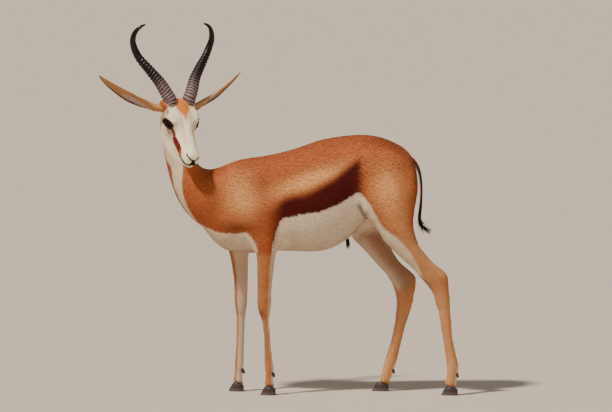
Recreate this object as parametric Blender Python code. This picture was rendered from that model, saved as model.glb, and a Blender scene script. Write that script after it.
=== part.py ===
"""Springbok ram standing broadside with its head turned, a still life-size model in metres.

The animal faces -X with its left side on -Y, and +Z is up. Flesh forms are lofts through
measured sections, joined and smoothed, then parted into torso, neck, head and legs.
"""

import math

import bmesh
import bpy
import numpy as np
from mathutils import Matrix, Vector
from mathutils.kdtree import KDTree

# Joint play and shared sizes.
GAP = 0.0003
RING_POINTS = 28
DETAIL_SHARE = 0.60
BODY_VOXEL = 0.0046
HEAD_VOXEL = 0.0024

# Body sections: station along X, back line, belly line, half width, height share of the widest point.
TORSO = (
    (-0.352, 0.665, 0.578, 0.042, 0.50),
    (-0.322, 0.704, 0.546, 0.064, 0.50),
    (-0.285, 0.728, 0.502, 0.080, 0.50),
    (-0.245, 0.750, 0.470, 0.090, 0.50),
    (-0.190, 0.770, 0.460, 0.096, 0.50),
    (-0.130, 0.776, 0.458, 0.102, 0.52),
    (-0.068, 0.788, 0.465, 0.111, 0.54),
    (0.000, 0.807, 0.464, 0.121, 0.55),
    (0.055, 0.828, 0.463, 0.125, 0.56),
    (0.100, 0.838, 0.474, 0.124, 0.55),
    (0.145, 0.844, 0.497, 0.118, 0.52),
    (0.175, 0.847, 0.522, 0.113, 0.48),
    (0.205, 0.848, 0.558, 0.109, 0.44),
    (0.250, 0.843, 0.575, 0.107, 0.42),
    (0.310, 0.821, 0.590, 0.098, 0.42),
    (0.350, 0.796, 0.605, 0.080, 0.42),
    (0.372, 0.768, 0.625, 0.056, 0.45),
    (0.382, 0.735, 0.650, 0.028, 0.50),
)

# Neck sections: throat point, nape point, sideways centre, half width.
NECK = (
    (-0.270, 0.515, -0.085, 0.770, 0.000, 0.098),
    (-0.325, 0.547, -0.170, 0.768, 0.000, 0.094),
    (-0.368, 0.582, -0.235, 0.748, 0.000, 0.083),
    (-0.400, 0.630, -0.282, 0.731, 0.000, 0.071),
    (-0.420, 0.680, -0.318, 0.735, 0.000, 0.060),
    (-0.436, 0.738, -0.336, 0.765, 0.000, 0.049),
    (-0.449, 0.800, -0.345, 0.808, 0.000, 0.046),
    (-0.454, 0.850, -0.354, 0.852, 0.003, 0.044),
    (-0.455, 0.890, -0.357, 0.893, 0.008, 0.043),
    (-0.450, 0.922, -0.360, 0.926, 0.014, 0.040),
    (-0.434, 0.945, -0.372, 0.950, 0.018, 0.028),
)

# Leg edges as seen from the side: height and X of the front edge, then of the back edge.
FORE_LEFT_FRONT = (
    (0.690, -0.190), (0.660, -0.206), (0.600, -0.220), (0.550, -0.200), (0.500, -0.166),
    (0.458, -0.143), (0.406, -0.140), (0.341, -0.1395), (0.308, -0.1400), (0.279, -0.1375),
    (0.256, -0.1305), (0.240, -0.1245), (0.207, -0.1205), (0.142, -0.1178), (0.107, -0.1165),
    (0.090, -0.1160), (0.074, -0.1140), (0.050, -0.1145), (0.025, -0.1180), (0.000, -0.1200),
)
FORE_LEFT_BACK = (
    (0.690, -0.100), (0.660, -0.082), (0.600, -0.058), (0.550, -0.050), (0.505, -0.055),
    (0.458, -0.0774), (0.406, -0.0838), (0.341, -0.0907), (0.308, -0.0905), (0.279, -0.0935),
    (0.256, -0.0972), (0.240, -0.0988), (0.207, -0.0955), (0.142, -0.0905), (0.107, -0.0865),
    (0.090, -0.0825), (0.074, -0.0845), (0.050, -0.0860), (0.025, -0.0790), (0.000, -0.0760),
)
FORE_RIGHT_FRONT = (
    (0.690, -0.200), (0.660, -0.225), (0.600, -0.265), (0.550, -0.270), (0.500, -0.252),
    (0.451, -0.2314), (0.394, -0.2210), (0.361, -0.2170), (0.316, -0.2155), (0.278, -0.2135),
    (0.256, -0.2105), (0.244, -0.2090), (0.212, -0.2083), (0.163, -0.2100), (0.111, -0.2135),
    (0.090, -0.2150), (0.074, -0.2140), (0.050, -0.2165), (0.025, -0.2230), (0.000, -0.2260),
)
FORE_RIGHT_BACK = (
    (0.690, -0.110), (0.660, -0.098), (0.600, -0.105), (0.550, -0.120), (0.505, -0.140),
    (0.451, -0.1658), (0.394, -0.1674), (0.361, -0.1684), (0.316, -0.1700), (0.278, -0.1719),
    (0.256, -0.1755), (0.244, -0.1768), (0.212, -0.1775), (0.163, -0.1800), (0.111, -0.1825),
    (0.090, -0.1815), (0.074, -0.1835), (0.050, -0.1870), (0.025, -0.1830), (0.000, -0.1810),
)
HIND_LEFT_FRONT = (
    (0.770, 0.245), (0.710, 0.205), (0.665, 0.186), (0.621, 0.184), (0.591, 0.206),
    (0.543, 0.243), (0.500, 0.274), (0.469, 0.304), (0.434, 0.339), (0.408, 0.3695),
    (0.391, 0.3825), (0.365, 0.4085), (0.343, 0.4257), (0.330, 0.4335), (0.300, 0.4400),
    (0.278, 0.4490), (0.234, 0.4563), (0.192, 0.4628), (0.146, 0.4709), (0.104, 0.4768),
    (0.081, 0.4781), (0.060, 0.4761), (0.039, 0.4696), (0.020, 0.4650), (0.000, 0.4620),
)
HIND_LEFT_BACK = (
    (0.770, 0.365), (0.710, 0.388), (0.665, 0.390), (0.621, 0.3835), (0.591, 0.378),
    (0.543, 0.3734), (0.500, 0.3835), (0.469, 0.406), (0.434, 0.4355), (0.408, 0.466),
    (0.391, 0.479), (0.365, 0.4815), (0.343, 0.4826), (0.330, 0.4836), (0.300, 0.4855),
    (0.278, 0.4868), (0.234, 0.4904), (0.192, 0.4934), (0.146, 0.5021), (0.104, 0.5122),
    (0.081, 0.5151), (0.060, 0.5095), (0.039, 0.5085), (0.020, 0.5110), (0.000, 0.5120),
)
HIND_RIGHT_FRONT = (
    (0.770, 0.235), (0.710, 0.180), (0.665, 0.152), (0.621, 0.140), (0.591, 0.140),
    (0.543, 0.148), (0.504, 0.167), (0.482, 0.187), (0.452, 0.217), (0.417, 0.2477),
    (0.387, 0.2779), (0.3605, 0.2977), (0.3345, 0.3084), (0.3085, 0.3149), (0.282, 0.3155),
    (0.243, 0.3127), (0.200, 0.3062), (0.156, 0.2954), (0.113, 0.2824), (0.078, 0.2714),
    (0.047, 0.2640), (0.020, 0.2520), (0.000, 0.2440),
)
HIND_RIGHT_BACK = (
    (0.770, 0.365), (0.710, 0.375), (0.665, 0.368), (0.621, 0.345), (0.591, 0.325),
    (0.543, 0.304), (0.504, 0.293), (0.482, 0.295), (0.452, 0.308), (0.413, 0.339),
    (0.387, 0.3673), (0.374, 0.378), (0.352, 0.3795), (0.3215, 0.3725), (0.287, 0.3673),
    (0.252, 0.3562), (0.213, 0.3432), (0.178, 0.3344), (0.143, 0.326), (0.108, 0.3172),
    (0.078, 0.3095), (0.060, 0.3030), (0.039, 0.2980), (0.020, 0.2950), (0.000, 0.2930),
)

# Sideways placing of a leg: height, centre, half width.
FORE_SIDE = (
    (0.690, 0.046, 0.030), (0.660, 0.053, 0.036), (0.600, 0.064, 0.036), (0.550, 0.067, 0.034),
    (0.500, 0.067, 0.031), (0.458, 0.066, 0.027), (0.406, 0.064, 0.0235), (0.341, 0.062, 0.0195),
    (0.310, 0.061, 0.0205), (0.279, 0.061, 0.0200), (0.256, 0.061, 0.0160), (0.240, 0.060, 0.0132),
    (0.207, 0.060, 0.0120), (0.142, 0.060, 0.0122), (0.107, 0.060, 0.0152), (0.090, 0.060, 0.0165),
    (0.074, 0.060, 0.0152), (0.050, 0.060, 0.0140), (0.030, 0.060, 0.0172), (0.000, 0.060, 0.0190),
)
HIND_SIDE = (
    (0.770, 0.044, 0.042), (0.710, 0.060, 0.050), (0.665, 0.066, 0.052), (0.621, 0.071, 0.049),
    (0.591, 0.074, 0.045), (0.543, 0.077, 0.039), (0.500, 0.077, 0.033), (0.469, 0.075, 0.029),
    (0.434, 0.072, 0.0245), (0.408, 0.070, 0.0205), (0.391, 0.068, 0.0190), (0.365, 0.067, 0.0190),
    (0.343, 0.066, 0.0195), (0.300, 0.066, 0.0175), (0.278, 0.066, 0.0155), (0.234, 0.066, 0.0138),
    (0.192, 0.066, 0.0132), (0.146, 0.066, 0.0140), (0.104, 0.066, 0.0175), (0.088, 0.066, 0.0185),
    (0.060, 0.066, 0.0158), (0.035, 0.066, 0.0178), (0.000, 0.066, 0.0195),
)

# Body masses under the skin: centre, radii, turn about Y in degrees; mirrored to both sides.
BODY_MASSES = (
    ((-0.172, 0.056, 0.655), (0.066, 0.042, 0.095), -14.0),
    ((-0.215, 0.066, 0.590), (0.066, 0.034, 0.052), 25.0),
    ((0.285, 0.060, 0.735), (0.085, 0.048, 0.075), 0.0),
    ((0.195, 0.072, 0.765), (0.045, 0.034, 0.040), 0.0),
)

# Head placing: point between the horns, turn towards the left shoulder and beyond, pitch.
HEAD_ORIGIN = Vector((-0.3877, -0.030, 0.959))
HEAD_YAW = math.radians(24.0)
HEAD_PITCH = math.radians(45.0)

# Head sections from poll to nose: station, upper line, lower line, half width, height share, lower pinch.
HEAD = (
    (0.052, -0.050, -0.078, 0.018, 0.50, 1.0),
    (0.040, -0.035, -0.094, 0.034, 0.48, 1.0),
    (0.022, -0.017, -0.108, 0.043, 0.46, 1.05),
    (0.004, -0.004, -0.117, 0.046, 0.42, 1.15),
    (-0.020, 0.001, -0.121, 0.048, 0.38, 1.25),
    (-0.045, 0.000, -0.119, 0.049, 0.36, 1.30),
    (-0.070, -0.005, -0.114, 0.045, 0.38, 1.30),
    (-0.095, -0.012, -0.1135, 0.0385, 0.42, 1.22),
    (-0.120, -0.019, -0.1130, 0.0330, 0.45, 1.12),
    (-0.145, -0.025, -0.1120, 0.0295, 0.47, 1.02),
    (-0.170, -0.030, -0.1100, 0.0280, 0.48, 0.95),
    (-0.188, -0.034, -0.1075, 0.0270, 0.48, 0.92),
    (-0.201, -0.038, -0.1030, 0.0245, 0.47, 0.92),
    (-0.2100, -0.043, -0.0950, 0.0195, 0.46, 0.95),
    (-0.2155, -0.050, -0.0820, 0.0110, 0.50, 1.00),
)

# Head masses in the head's own frame, mirrored: brow, orbit, cheek, nostril wing, lips, ear root, pedicle.
HEAD_MASSES = (
    ((-0.050, 0.037, -0.020), (0.034, 0.016, 0.012)),
    ((-0.066, 0.036, -0.038), (0.028, 0.019, 0.022)),
    ((-0.018, 0.030, -0.080), (0.044, 0.017, 0.032)),
    ((-0.200, 0.0125, -0.053), (0.0135, 0.0120, 0.0125)),
    ((-0.196, 0.0135, -0.074), (0.0215, 0.0140, 0.0125)),
    ((-0.186, 0.0060, -0.097), (0.0230, 0.0150, 0.0100)),
    ((0.009, 0.047, -0.034), (0.020, 0.017, 0.020)),
    ((0.004, 0.0335, -0.022), (0.024, 0.0235, 0.018)),
)

# Eyes in the head's frame.
EYE_CENTRE = (-0.066, 0.0395, -0.0365)
EYE_RADIUS = 0.0160
LID_WALL = 0.0030
EYE_FORWARD = math.radians(24.0)
EYE_UP = math.radians(8.0)
LID_LENGTH = 0.0165
LID_HEIGHT = 0.0100

# Mouth and nostril lines in the head's frame, as points on one side.
MOUTH_LINE = (
    (-0.2195, 0.000, -0.0670), (-0.2195, 0.006, -0.0755), (-0.2150, 0.013, -0.0835),
    (-0.2040, 0.0225, -0.0862), (-0.1866, 0.027, -0.0900), (-0.1680, 0.029, -0.0955),
)
NOSTRIL_LINE = (
    (-0.2190, 0.0010, -0.0600), (-0.2160, 0.0100, -0.0545), (-0.2090, 0.0180, -0.0505),
    (-0.1960, 0.0245, -0.0490), (-0.1800, 0.0265, -0.0470),
)
PHILTRUM_LINE = ((-0.2195, 0.000, -0.0600), (-0.2200, 0.000, -0.0635), (-0.2195, 0.000, -0.0670))

# Horn centre line in the turned, level head frame: sideways, backwards, up, then radius.
HORN = (
    (0.0310, 0.006, -0.020, 0.0200), (0.0333, 0.006, 0.000, 0.0200), (0.0420, 0.011, 0.018, 0.0196),
    (0.0510, 0.019, 0.037, 0.0188), (0.0625, 0.032, 0.060, 0.0176), (0.0760, 0.043, 0.080, 0.0165),
    (0.0930, 0.054, 0.103, 0.0152), (0.1085, 0.063, 0.123, 0.0140), (0.1215, 0.069, 0.143, 0.0125),
    (0.1320, 0.070, 0.166, 0.0110), (0.1385, 0.067, 0.189, 0.0096), (0.1360, 0.061, 0.212, 0.0080),
    (0.1265, 0.053, 0.229, 0.0062), (0.1145, 0.048, 0.2385, 0.0044), (0.1030, 0.047, 0.2430, 0.0024),
)
HORN_RINGS = 17
HORN_RING_SHARE = 0.66
HORN_RING_HEIGHT = 0.0021

# Ear centre line in the turned, level head frame: sideways, backwards, up, half width, cup depth.
EAR = (
    (0.046, 0.026, -0.034, 0.0125, 0.0100), (0.062, 0.031, -0.030, 0.0135, 0.0125),
    (0.078, 0.036, -0.026, 0.0160, 0.0145), (0.098, 0.042, -0.019, 0.0205, 0.0150),
    (0.120, 0.048, -0.010, 0.0240, 0.0140), (0.145, 0.056, 0.002, 0.0252, 0.0120),
    (0.170, 0.063, 0.017, 0.0235, 0.0100), (0.195, 0.071, 0.034, 0.0195, 0.0080),
    (0.218, 0.078, 0.051, 0.0140, 0.0058), (0.238, 0.083, 0.068, 0.0078, 0.0036),
    (0.250, 0.0855, 0.079, 0.0026, 0.0016),
)
EAR_WALL = 0.0032
EAR_STUB_RINGS = 2

# Hooves and dew claws.
CLAW_INNER = 0.0012
CLAW_WIDTH = 0.0178
CORONET_FRONT = 0.031
CORONET_BACK = 0.019
TOE_SLOPE = 0.019
HOOF_SPANS = {
    "front_left": (-0.1305, -0.0780, -0.060),
    "front_right": (-0.2350, -0.1830, 0.060),
    "hind_left": (0.4570, 0.5130, -0.066),
    "hind_right": (0.2340, 0.2900, 0.066),
}
DEWCLAW_RADII = (0.0058, 0.0050, 0.0105)
DEWCLAW_HEIGHT = 0.067

# Tail: X, height, radius; tuft locks as start height, length, swing back, sideways lean, half width.
TAIL = (
    (0.356, 0.768, 0.0090), (0.3690, 0.757, 0.0086), (0.3795, 0.741, 0.0078), (0.3875, 0.720, 0.0068),
    (0.3920, 0.695, 0.0060), (0.3940, 0.665, 0.0055), (0.3935, 0.635, 0.0054), (0.3915, 0.605, 0.0060),
    (0.3900, 0.583, 0.0066), (0.3905, 0.565, 0.0060), (0.3930, 0.548, 0.0046), (0.3975, 0.533, 0.0026),
)
TAIL_LOCKS = (
    (0.622, 0.066, 0.002, 0.004, 0.0078), (0.608, 0.070, -0.006, -0.005, 0.0086),
    (0.598, 0.072, 0.010, 0.005, 0.0092), (0.590, 0.070, 0.020, -0.006, 0.0092),
    (0.582, 0.066, -0.004, 0.002, 0.0086), (0.576, 0.066, 0.030, 0.003, 0.0086),
    (0.570, 0.058, 0.040, -0.002, 0.0076),
)

# Parting planes of the flesh.
FORE_CUT = 0.446
HIND_CUT = 0.486
NECK_BASE_POINT = (-0.285, 0.660)
NECK_BASE_NORMAL = (-0.80, 0.60)
SHEATH = ((0.146, 0.0, 0.492), (0.0120, 0.0062, 0.0200))

TARGETS = {
    "torso": 1640, "neck": 680, "head": 2960, "leg_front": 620, "leg_hind": 700,
}

COLOURS = {
    "coat": (0.48, 0.23, 0.09, 1.0),
    "horn": (0.025, 0.020, 0.022, 1.0),
    "hoof": (0.035, 0.028, 0.034, 1.0),
    "eye": (0.012, 0.007, 0.005, 1.0),
    "tail": (0.030, 0.018, 0.014, 1.0),
    "ear": (0.52, 0.31, 0.15, 1.0),
}


def clear_scene():
    """Remove whatever the file starts with."""
    for item in list(bpy.data.objects):
        bpy.data.objects.remove(item, do_unlink=True)


def make_object(name, vertices, faces):
    """Link a mesh object made from vertices and faces, with its faces turned outward."""
    mesh = bpy.data.meshes.new(name)
    mesh.from_pydata([tuple(v) for v in vertices], [], faces)
    mesh.update()
    item = bpy.data.objects.new(name, mesh)
    bpy.context.collection.objects.link(item)
    face_outward(item)
    return item


def face_outward(item):
    """Triangulate and turn every face outward."""
    shape = bmesh.new()
    shape.from_mesh(item.data)
    bmesh.ops.triangulate(shape, faces=shape.faces[:])
    bmesh.ops.recalc_face_normals(shape, faces=shape.faces[:])
    if shape.calc_volume(signed=True) < 0.0:
        bmesh.ops.reverse_faces(shape, faces=shape.faces[:])
    shape.to_mesh(item.data)
    shape.free()


def drop(item):
    """Remove an object that has done its work."""
    bpy.data.objects.remove(item, do_unlink=True)


def bake(item):
    """Turn an object's modifiers into its mesh."""
    graph = bpy.context.evaluated_depsgraph_get()
    graph.update()
    mesh = bpy.data.meshes.new_from_object(item.evaluated_get(graph))
    item.modifiers.clear()
    item.data = mesh
    return item


def loft(name, rings):
    """Skin a closed body through rings of equal length, with flat fans on both ends."""
    count = len(rings[0])
    vertices = [point for ring in rings for point in ring]
    faces = []
    for row in range(len(rings) - 1):
        for step in range(count):
            after = (step + 1) % count
            low = row * count
            high = low + count
            faces.append((low + step, low + after, high + after, high + step))
    start = len(vertices)
    vertices.append(sum((Vector(p) for p in rings[0]), Vector()) / count)
    vertices.append(sum((Vector(p) for p in rings[-1]), Vector()) / count)
    last = (len(rings) - 1) * count
    for step in range(count):
        after = (step + 1) % count
        faces.append((start, after, step))
        faces.append((start + 1, last + step, last + after))
    return make_object(name, vertices, faces)


def oval(first, second, side, half, share=0.5, upper=1.0, lower=1.0, count=RING_POINTS):
    """Ring between two points in a plane with the sideways direction, widest at a share of the way."""
    first = Vector(first)
    second = Vector(second)
    centre = first.lerp(second, share)
    ring = []
    for step in range(count):
        angle = 2.0 * math.pi * step / count
        sine = math.sin(angle)
        cosine = math.cos(angle)
        power = upper if cosine >= 0.0 else lower
        across = half * math.copysign(abs(sine) ** power, sine)
        end = first if cosine >= 0.0 else second
        ring.append(centre + (end - centre) * abs(cosine) + Vector(side) * across)
    return ring


def smooth_rows(rows, steps):
    """Refine a table of section numbers with a Catmull-Rom curve."""
    table = np.array(rows, dtype=float)
    padded = np.vstack([2.0 * table[0] - table[1], table, 2.0 * table[-1] - table[-2]])
    result = []
    for index in range(1, len(padded) - 2):
        before, here, ahead, beyond = padded[index - 1:index + 3]
        for step in range(steps):
            t = step / steps
            value = 0.5 * (
                2.0 * here + (ahead - before) * t
                + (2.0 * before - 5.0 * here + 4.0 * ahead - beyond) * t * t
                + (3.0 * here - before - 3.0 * ahead + beyond) * t * t * t
            )
            result.append(value)
    result.append(table[-1])
    return result


def ellipsoid(name, centre, radii, turn=None, rows=12, columns=20):
    """Closed ellipsoid, turned by a matrix about its centre."""
    turn = turn or Matrix.Identity(3)
    vertices = []
    for row in range(1, rows):
        tilt = math.pi * row / rows
        for column in range(columns):
            angle = 2.0 * math.pi * column / columns
            point = Vector((
                radii[0] * math.sin(tilt) * math.cos(angle),
                radii[1] * math.sin(tilt) * math.sin(angle),
                radii[2] * math.cos(tilt),
            ))
            vertices.append(Vector(centre) + turn @ point)
    faces = []
    for row in range(rows - 2):
        for column in range(columns):
            after = (column + 1) % columns
            low = row * columns
            high = low + columns
            faces.append((low + column, high + column, high + after, low + after))
    top = len(vertices)
    vertices.append(Vector(centre) + turn @ Vector((0.0, 0.0, radii[2])))
    vertices.append(Vector(centre) + turn @ Vector((0.0, 0.0, -radii[2])))
    last = (rows - 2) * columns
    for column in range(columns):
        after = (column + 1) % columns
        faces.append((top, column, after))
        faces.append((top + 1, last + after, last + column))
    return make_object(name, vertices, faces)


def join(name, items):
    """Join objects into one mesh object without fusing them."""
    vertices = []
    faces = []
    for item in items:
        offset = len(vertices)
        vertices.extend(v.co.copy() for v in item.data.vertices)
        faces.extend(tuple(offset + i for i in p.vertices) for p in item.data.polygons)
        drop(item)
    mesh = bpy.data.meshes.new(name)
    mesh.from_pydata([tuple(v) for v in vertices], [], faces)
    mesh.update()
    result = bpy.data.objects.new(name, mesh)
    bpy.context.collection.objects.link(result)
    return result


def fuse(item, voxel, smoothing):
    """Fuse overlapping forms into one smooth skin."""
    remesh = item.modifiers.new("fuse", "REMESH")
    remesh.mode = "VOXEL"
    remesh.voxel_size = voxel
    remesh.adaptivity = 0.0
    bake(item)
    soften = item.modifiers.new("soften", "SMOOTH")
    soften.factor = 0.5
    soften.iterations = smoothing
    bake(item)
    keep_largest(item)
    return item


def soften_trunk(item):
    """Blend the masses of the trunk into each other, with the lower legs left as they are."""
    group = item.vertex_groups.new(name="trunk")
    for vertex in item.data.vertices:
        weight = max(0.0, min(1.0, (vertex.co.z - 0.50) / 0.06))
        if weight > 0.0:
            group.add([vertex.index], weight, "REPLACE")
    soften = item.modifiers.new("soften", "SMOOTH")
    soften.factor = 0.5
    soften.iterations = 110
    soften.vertex_group = "trunk"
    bake(item)


def thin_out(item, target, centres=()):
    """Reduce a mesh to about the given number of triangles, with finer ones around the given balls."""
    face_outward(item)
    count = len(item.data.polygons)
    if count > target:
        reduce = item.modifiers.new("reduce", "DECIMATE")
        reduce.ratio = target / count
        reduce.use_collapse_triangulate = True
        if centres:
            group = item.vertex_groups.new(name="plain")
            for vertex in item.data.vertices:
                near = min((vertex.co - centre).length / reach for centre, reach in centres)
                group.add([vertex.index], DETAIL_SHARE if near < 1.0 else 1.0, "REPLACE")
            reduce.vertex_group = "plain"
        bake(item)
    return item


def tidy(item):
    """Weld coincident points, drop slivers and turn faces outward."""
    shape = bmesh.new()
    shape.from_mesh(item.data)
    bmesh.ops.remove_doubles(shape, verts=shape.verts[:], dist=0.00002)
    bmesh.ops.dissolve_degenerate(shape, edges=shape.edges[:], dist=0.00002)
    bmesh.ops.triangulate(shape, faces=shape.faces[:])
    loose = [v for v in shape.verts if not v.link_faces]
    bmesh.ops.delete(shape, geom=loose, context="VERTS")
    bmesh.ops.recalc_face_normals(shape, faces=shape.faces[:])
    if shape.calc_volume(signed=True) < 0.0:
        bmesh.ops.reverse_faces(shape, faces=shape.faces[:])
    shape.to_mesh(item.data)
    shape.free()


def is_closed(item):
    """Tell whether every edge of a mesh has two faces."""
    shape = bmesh.new()
    shape.from_mesh(item.data)
    closed = len(shape.faces) > 3 and all(len(e.link_faces) == 2 for e in shape.edges)
    shape.free()
    return closed


def keep_largest(item):
    """Keep the largest closed surface of a mesh."""
    shape = bmesh.new()
    shape.from_mesh(item.data)
    shape.faces.ensure_lookup_table()
    seen = set()
    groups = []
    for face in shape.faces:
        if face.index in seen:
            continue
        seen.add(face.index)
        group = [face]
        queue = [face]
        while queue:
            here = queue.pop()
            for edge in here.edges:
                for other in edge.link_faces:
                    if other.index not in seen:
                        seen.add(other.index)
                        group.append(other)
                        queue.append(other)
        groups.append(group)
    if len(groups) > 1:
        groups.sort(key=lambda group: sum(f.calc_area() for f in group), reverse=True)
        extra = [face for group in groups[1:] for face in group]
        bmesh.ops.delete(shape, geom=extra, context="FACES")
        loose = [v for v in shape.verts if not v.link_faces]
        bmesh.ops.delete(shape, geom=loose, context="VERTS")
    shape.to_mesh(item.data)
    shape.free()
    return item


def combine(item, other, operation, discard=True):
    """Boolean one mesh with another, with the manifold solver where the exact one leaves an opening."""
    original = item.data.copy()
    for solver in ("EXACT", "MANIFOLD"):
        item.data = original.copy()
        step = item.modifiers.new("cut", "BOOLEAN")
        step.operation = operation
        step.solver = solver
        step.object = other
        bake(item)
        rough = item.data.copy()
        tidy(item)
        if not is_closed(item):
            item.data = rough
            face_outward(item)
        if is_closed(item):
            break
    if discard:
        drop(other)
    keep_largest(item)
    return item


def copy_of(item, name):
    """Independent copy of an object."""
    result = bpy.data.objects.new(name, item.data.copy())
    bpy.context.collection.objects.link(result)
    return result


def block(name, low, high):
    """Axis-aligned block."""
    corners = [(x, y, z) for x in (low[0], high[0]) for y in (low[1], high[1]) for z in (low[2], high[2])]
    faces = [(0, 1, 3, 2), (4, 6, 7, 5), (0, 4, 5, 1), (2, 3, 7, 6), (0, 2, 6, 4), (1, 5, 7, 3)]
    return make_object(name, corners, faces)


def trim(item, point, normal):
    """Keep the side of a plane its normal points to, and close the opening."""
    shape = bmesh.new()
    shape.from_mesh(item.data)
    geometry = shape.verts[:] + shape.edges[:] + shape.faces[:]
    bmesh.ops.bisect_plane(
        shape, geom=geometry, plane_co=point, plane_no=normal, clear_inner=True, dist=0.000001
    )
    rim = [edge for edge in shape.edges if len(edge.link_faces) == 1]
    bmesh.ops.triangle_fill(shape, edges=rim, use_beauty=True)
    shape.to_mesh(item.data)
    shape.free()
    tidy(item)
    return item


def paint(item, name, colour, roughness=0.7):
    """Give a sub-part its name and its own material."""
    item.name = name
    item.data.name = name
    material = bpy.data.materials.new(name)
    material.use_nodes = True
    shader = material.node_tree.nodes["Principled BSDF"]
    shader.inputs["Base Color"].default_value = COLOURS[colour]
    shader.inputs["Roughness"].default_value = roughness
    item.data.materials.clear()
    item.data.materials.append(material)
    return item


def level_frame():
    """Unit directions of the turned head while level: left, back, up."""
    left = Vector((math.cos(HEAD_YAW), math.sin(HEAD_YAW), 0.0))
    back = Vector((-math.sin(HEAD_YAW), math.cos(HEAD_YAW), 0.0))
    return left, back, Vector((0.0, 0.0, 1.0))


def level_point(side, sideways, backwards, up):
    """World point from the level head frame; side is -1 for the left and 1 for the right."""
    left, back, high = level_frame()
    return HEAD_ORIGIN - left * side * sideways + back * backwards + high * up


def head_axes():
    """Unit directions of the pitched head: its +X, +Y and +Z in the world."""
    left, back, high = level_frame()
    rear = back * math.cos(HEAD_PITCH) + high * math.sin(HEAD_PITCH)
    top = high * math.cos(HEAD_PITCH) - back * math.sin(HEAD_PITCH)
    return rear, -left, top


def head_point(x, y, z):
    """World point from the head's own frame, nose on -X and left on -Y."""
    rear, right, top = head_axes()
    return HEAD_ORIGIN + rear * x + right * y + top * z


def edge_x(edge, height):
    """X of a leg edge at a height."""
    heights = [row[0] for row in reversed(edge)]
    values = [row[1] for row in reversed(edge)]
    return float(np.interp(height, heights, values))


def leg_form(name, front, back, side_rows, side):
    """Loft of one leg through level sections."""
    heights = sorted({round(row[0], 4) for row in front + back}, reverse=True)
    side_heights = [row[0] for row in reversed(side_rows)]
    centres = [row[1] for row in reversed(side_rows)]
    halves = [row[2] for row in reversed(side_rows)]
    rows = []
    for height in heights:
        rows.append((
            height, edge_x(front, height), edge_x(back, height),
            float(np.interp(height, side_heights, centres)),
            float(np.interp(height, side_heights, halves)),
        ))
    rows.append((-0.012, rows[-1][1], rows[-1][2], rows[-1][3], rows[-1][4]))
    rings = []
    for height, near, far, centre, half in smooth_rows(rows, 2):
        rings.append(oval(
            (near, side * centre, height), (far, side * centre, height), (0.0, 1.0, 0.0), half,
            0.46, 0.92, 0.92, 24,
        ))
    return loft(name, rings)


def torso_form():
    """Loft of the barrel from breast to rump."""
    rings = []
    for x, top, bottom, half, share in smooth_rows(TORSO, 2):
        rings.append(oval((x, 0.0, top), (x, 0.0, bottom), (0.0, 1.0, 0.0), half, share, 0.96, 0.86, 40))
    return loft("torso form", rings)


def neck_form():
    """Loft of the neck from the shoulders to behind the jaw."""
    rings = []
    for fx, fz, bx, bz, centre, half in smooth_rows(NECK, 2):
        rings.append(oval((fx, centre, fz), (bx, centre, bz), (0.0, 1.0, 0.0), half, 0.48, 0.94, 0.98, 32))
    return loft("neck form", rings)


def head_forms():
    """Loft of the skull and muzzle with its masses."""
    rings = []
    right = head_axes()[1]
    for x, top, bottom, half, share, pinch in smooth_rows(HEAD, 2):
        rings.append(oval(
            head_point(x, 0.0, top), head_point(x, 0.0, bottom), right, half, share, 0.80, pinch, 36
        ))
    items = [loft("head form", rings)]
    turn = Matrix([list(axis) for axis in head_axes()]).transposed()
    for centre, radii in HEAD_MASSES:
        for side in (-1.0, 1.0):
            place = head_point(centre[0], side * centre[1], centre[2])
            items.append(ellipsoid("head mass", place, radii, turn))
    lid = EYE_RADIUS + LID_WALL
    for side in (-1.0, 1.0):
        place = head_point(EYE_CENTRE[0], side * EYE_CENTRE[1], EYE_CENTRE[2])
        items.append(ellipsoid("lid mass", place, (lid, lid, lid), turn))
    return items


def press(item, lines):
    """Press soft grooves into a mesh along lines brought onto its surface; each has a width and a depth."""
    mesh = item.data
    tree = KDTree(len(mesh.vertices))
    for vertex in mesh.vertices:
        tree.insert(vertex.co, vertex.index)
    tree.balance()
    depths = {}
    for line, width, depth in lines:
        points = [Vector(tree.find(head_point(*row))[0]) for row in smooth_rows(line, 4)]
        for start, end in zip(points, points[1:]):
            span = end - start
            if span.length_squared < 1e-12:
                continue
            middle = start.lerp(end, 0.5)
            for place, index, distance in tree.find_range(middle, span.length / 2.0 + width * 2.5):
                share = max(0.0, min(1.0, (place - start).dot(span) / span.length_squared))
                away = (place - start - span * share).length
                value = depth * math.exp(-(away / width) ** 2)
                depths[index] = max(depths.get(index, 0.0), value)
    normals = {index: mesh.vertices[index].normal.copy() for index in depths}
    for index, value in depths.items():
        mesh.vertices[index].co -= normals[index] * value
    mesh.update()


def mirrored(line):
    """Both sides of a head line."""
    return [line, tuple((x, -y, z) for x, y, z in line)]


def eye_axes(side):
    """Direction an eye looks along, the direction of its corners and its up direction."""
    rear, right, top = head_axes()
    look = right * side * math.cos(EYE_FORWARD) - rear * math.sin(EYE_FORWARD)
    look = (look + top * math.tan(EYE_UP)).normalized()
    along = (rear - look * rear.dot(look)).normalized()
    along = (along + top * 0.22).normalized()
    along = (along - look * along.dot(look)).normalized()
    return look, along, look.cross(along).normalized()


def lid_cutter(side):
    """Almond opening between the lids, from the eye's centre outward."""
    look, along, high = eye_axes(side)
    centre = head_point(EYE_CENTRE[0], side * EYE_CENTRE[1], EYE_CENTRE[2])
    rings = []
    for depth, scale in ((0.004, 0.80), (0.0120, 1.0), (0.0220, 1.12), (0.0300, 1.2)):
        ring = []
        for step in range(20):
            angle = 2.0 * math.pi * step / 20
            x = math.cos(angle) * LID_LENGTH * scale
            z = math.sin(angle) * abs(math.sin(angle)) ** 0.25 * LID_HEIGHT * scale
            ring.append(centre + look * depth + along * x + high * z)
        rings.append(ring)
    return loft("lid cutter", rings)


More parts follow.
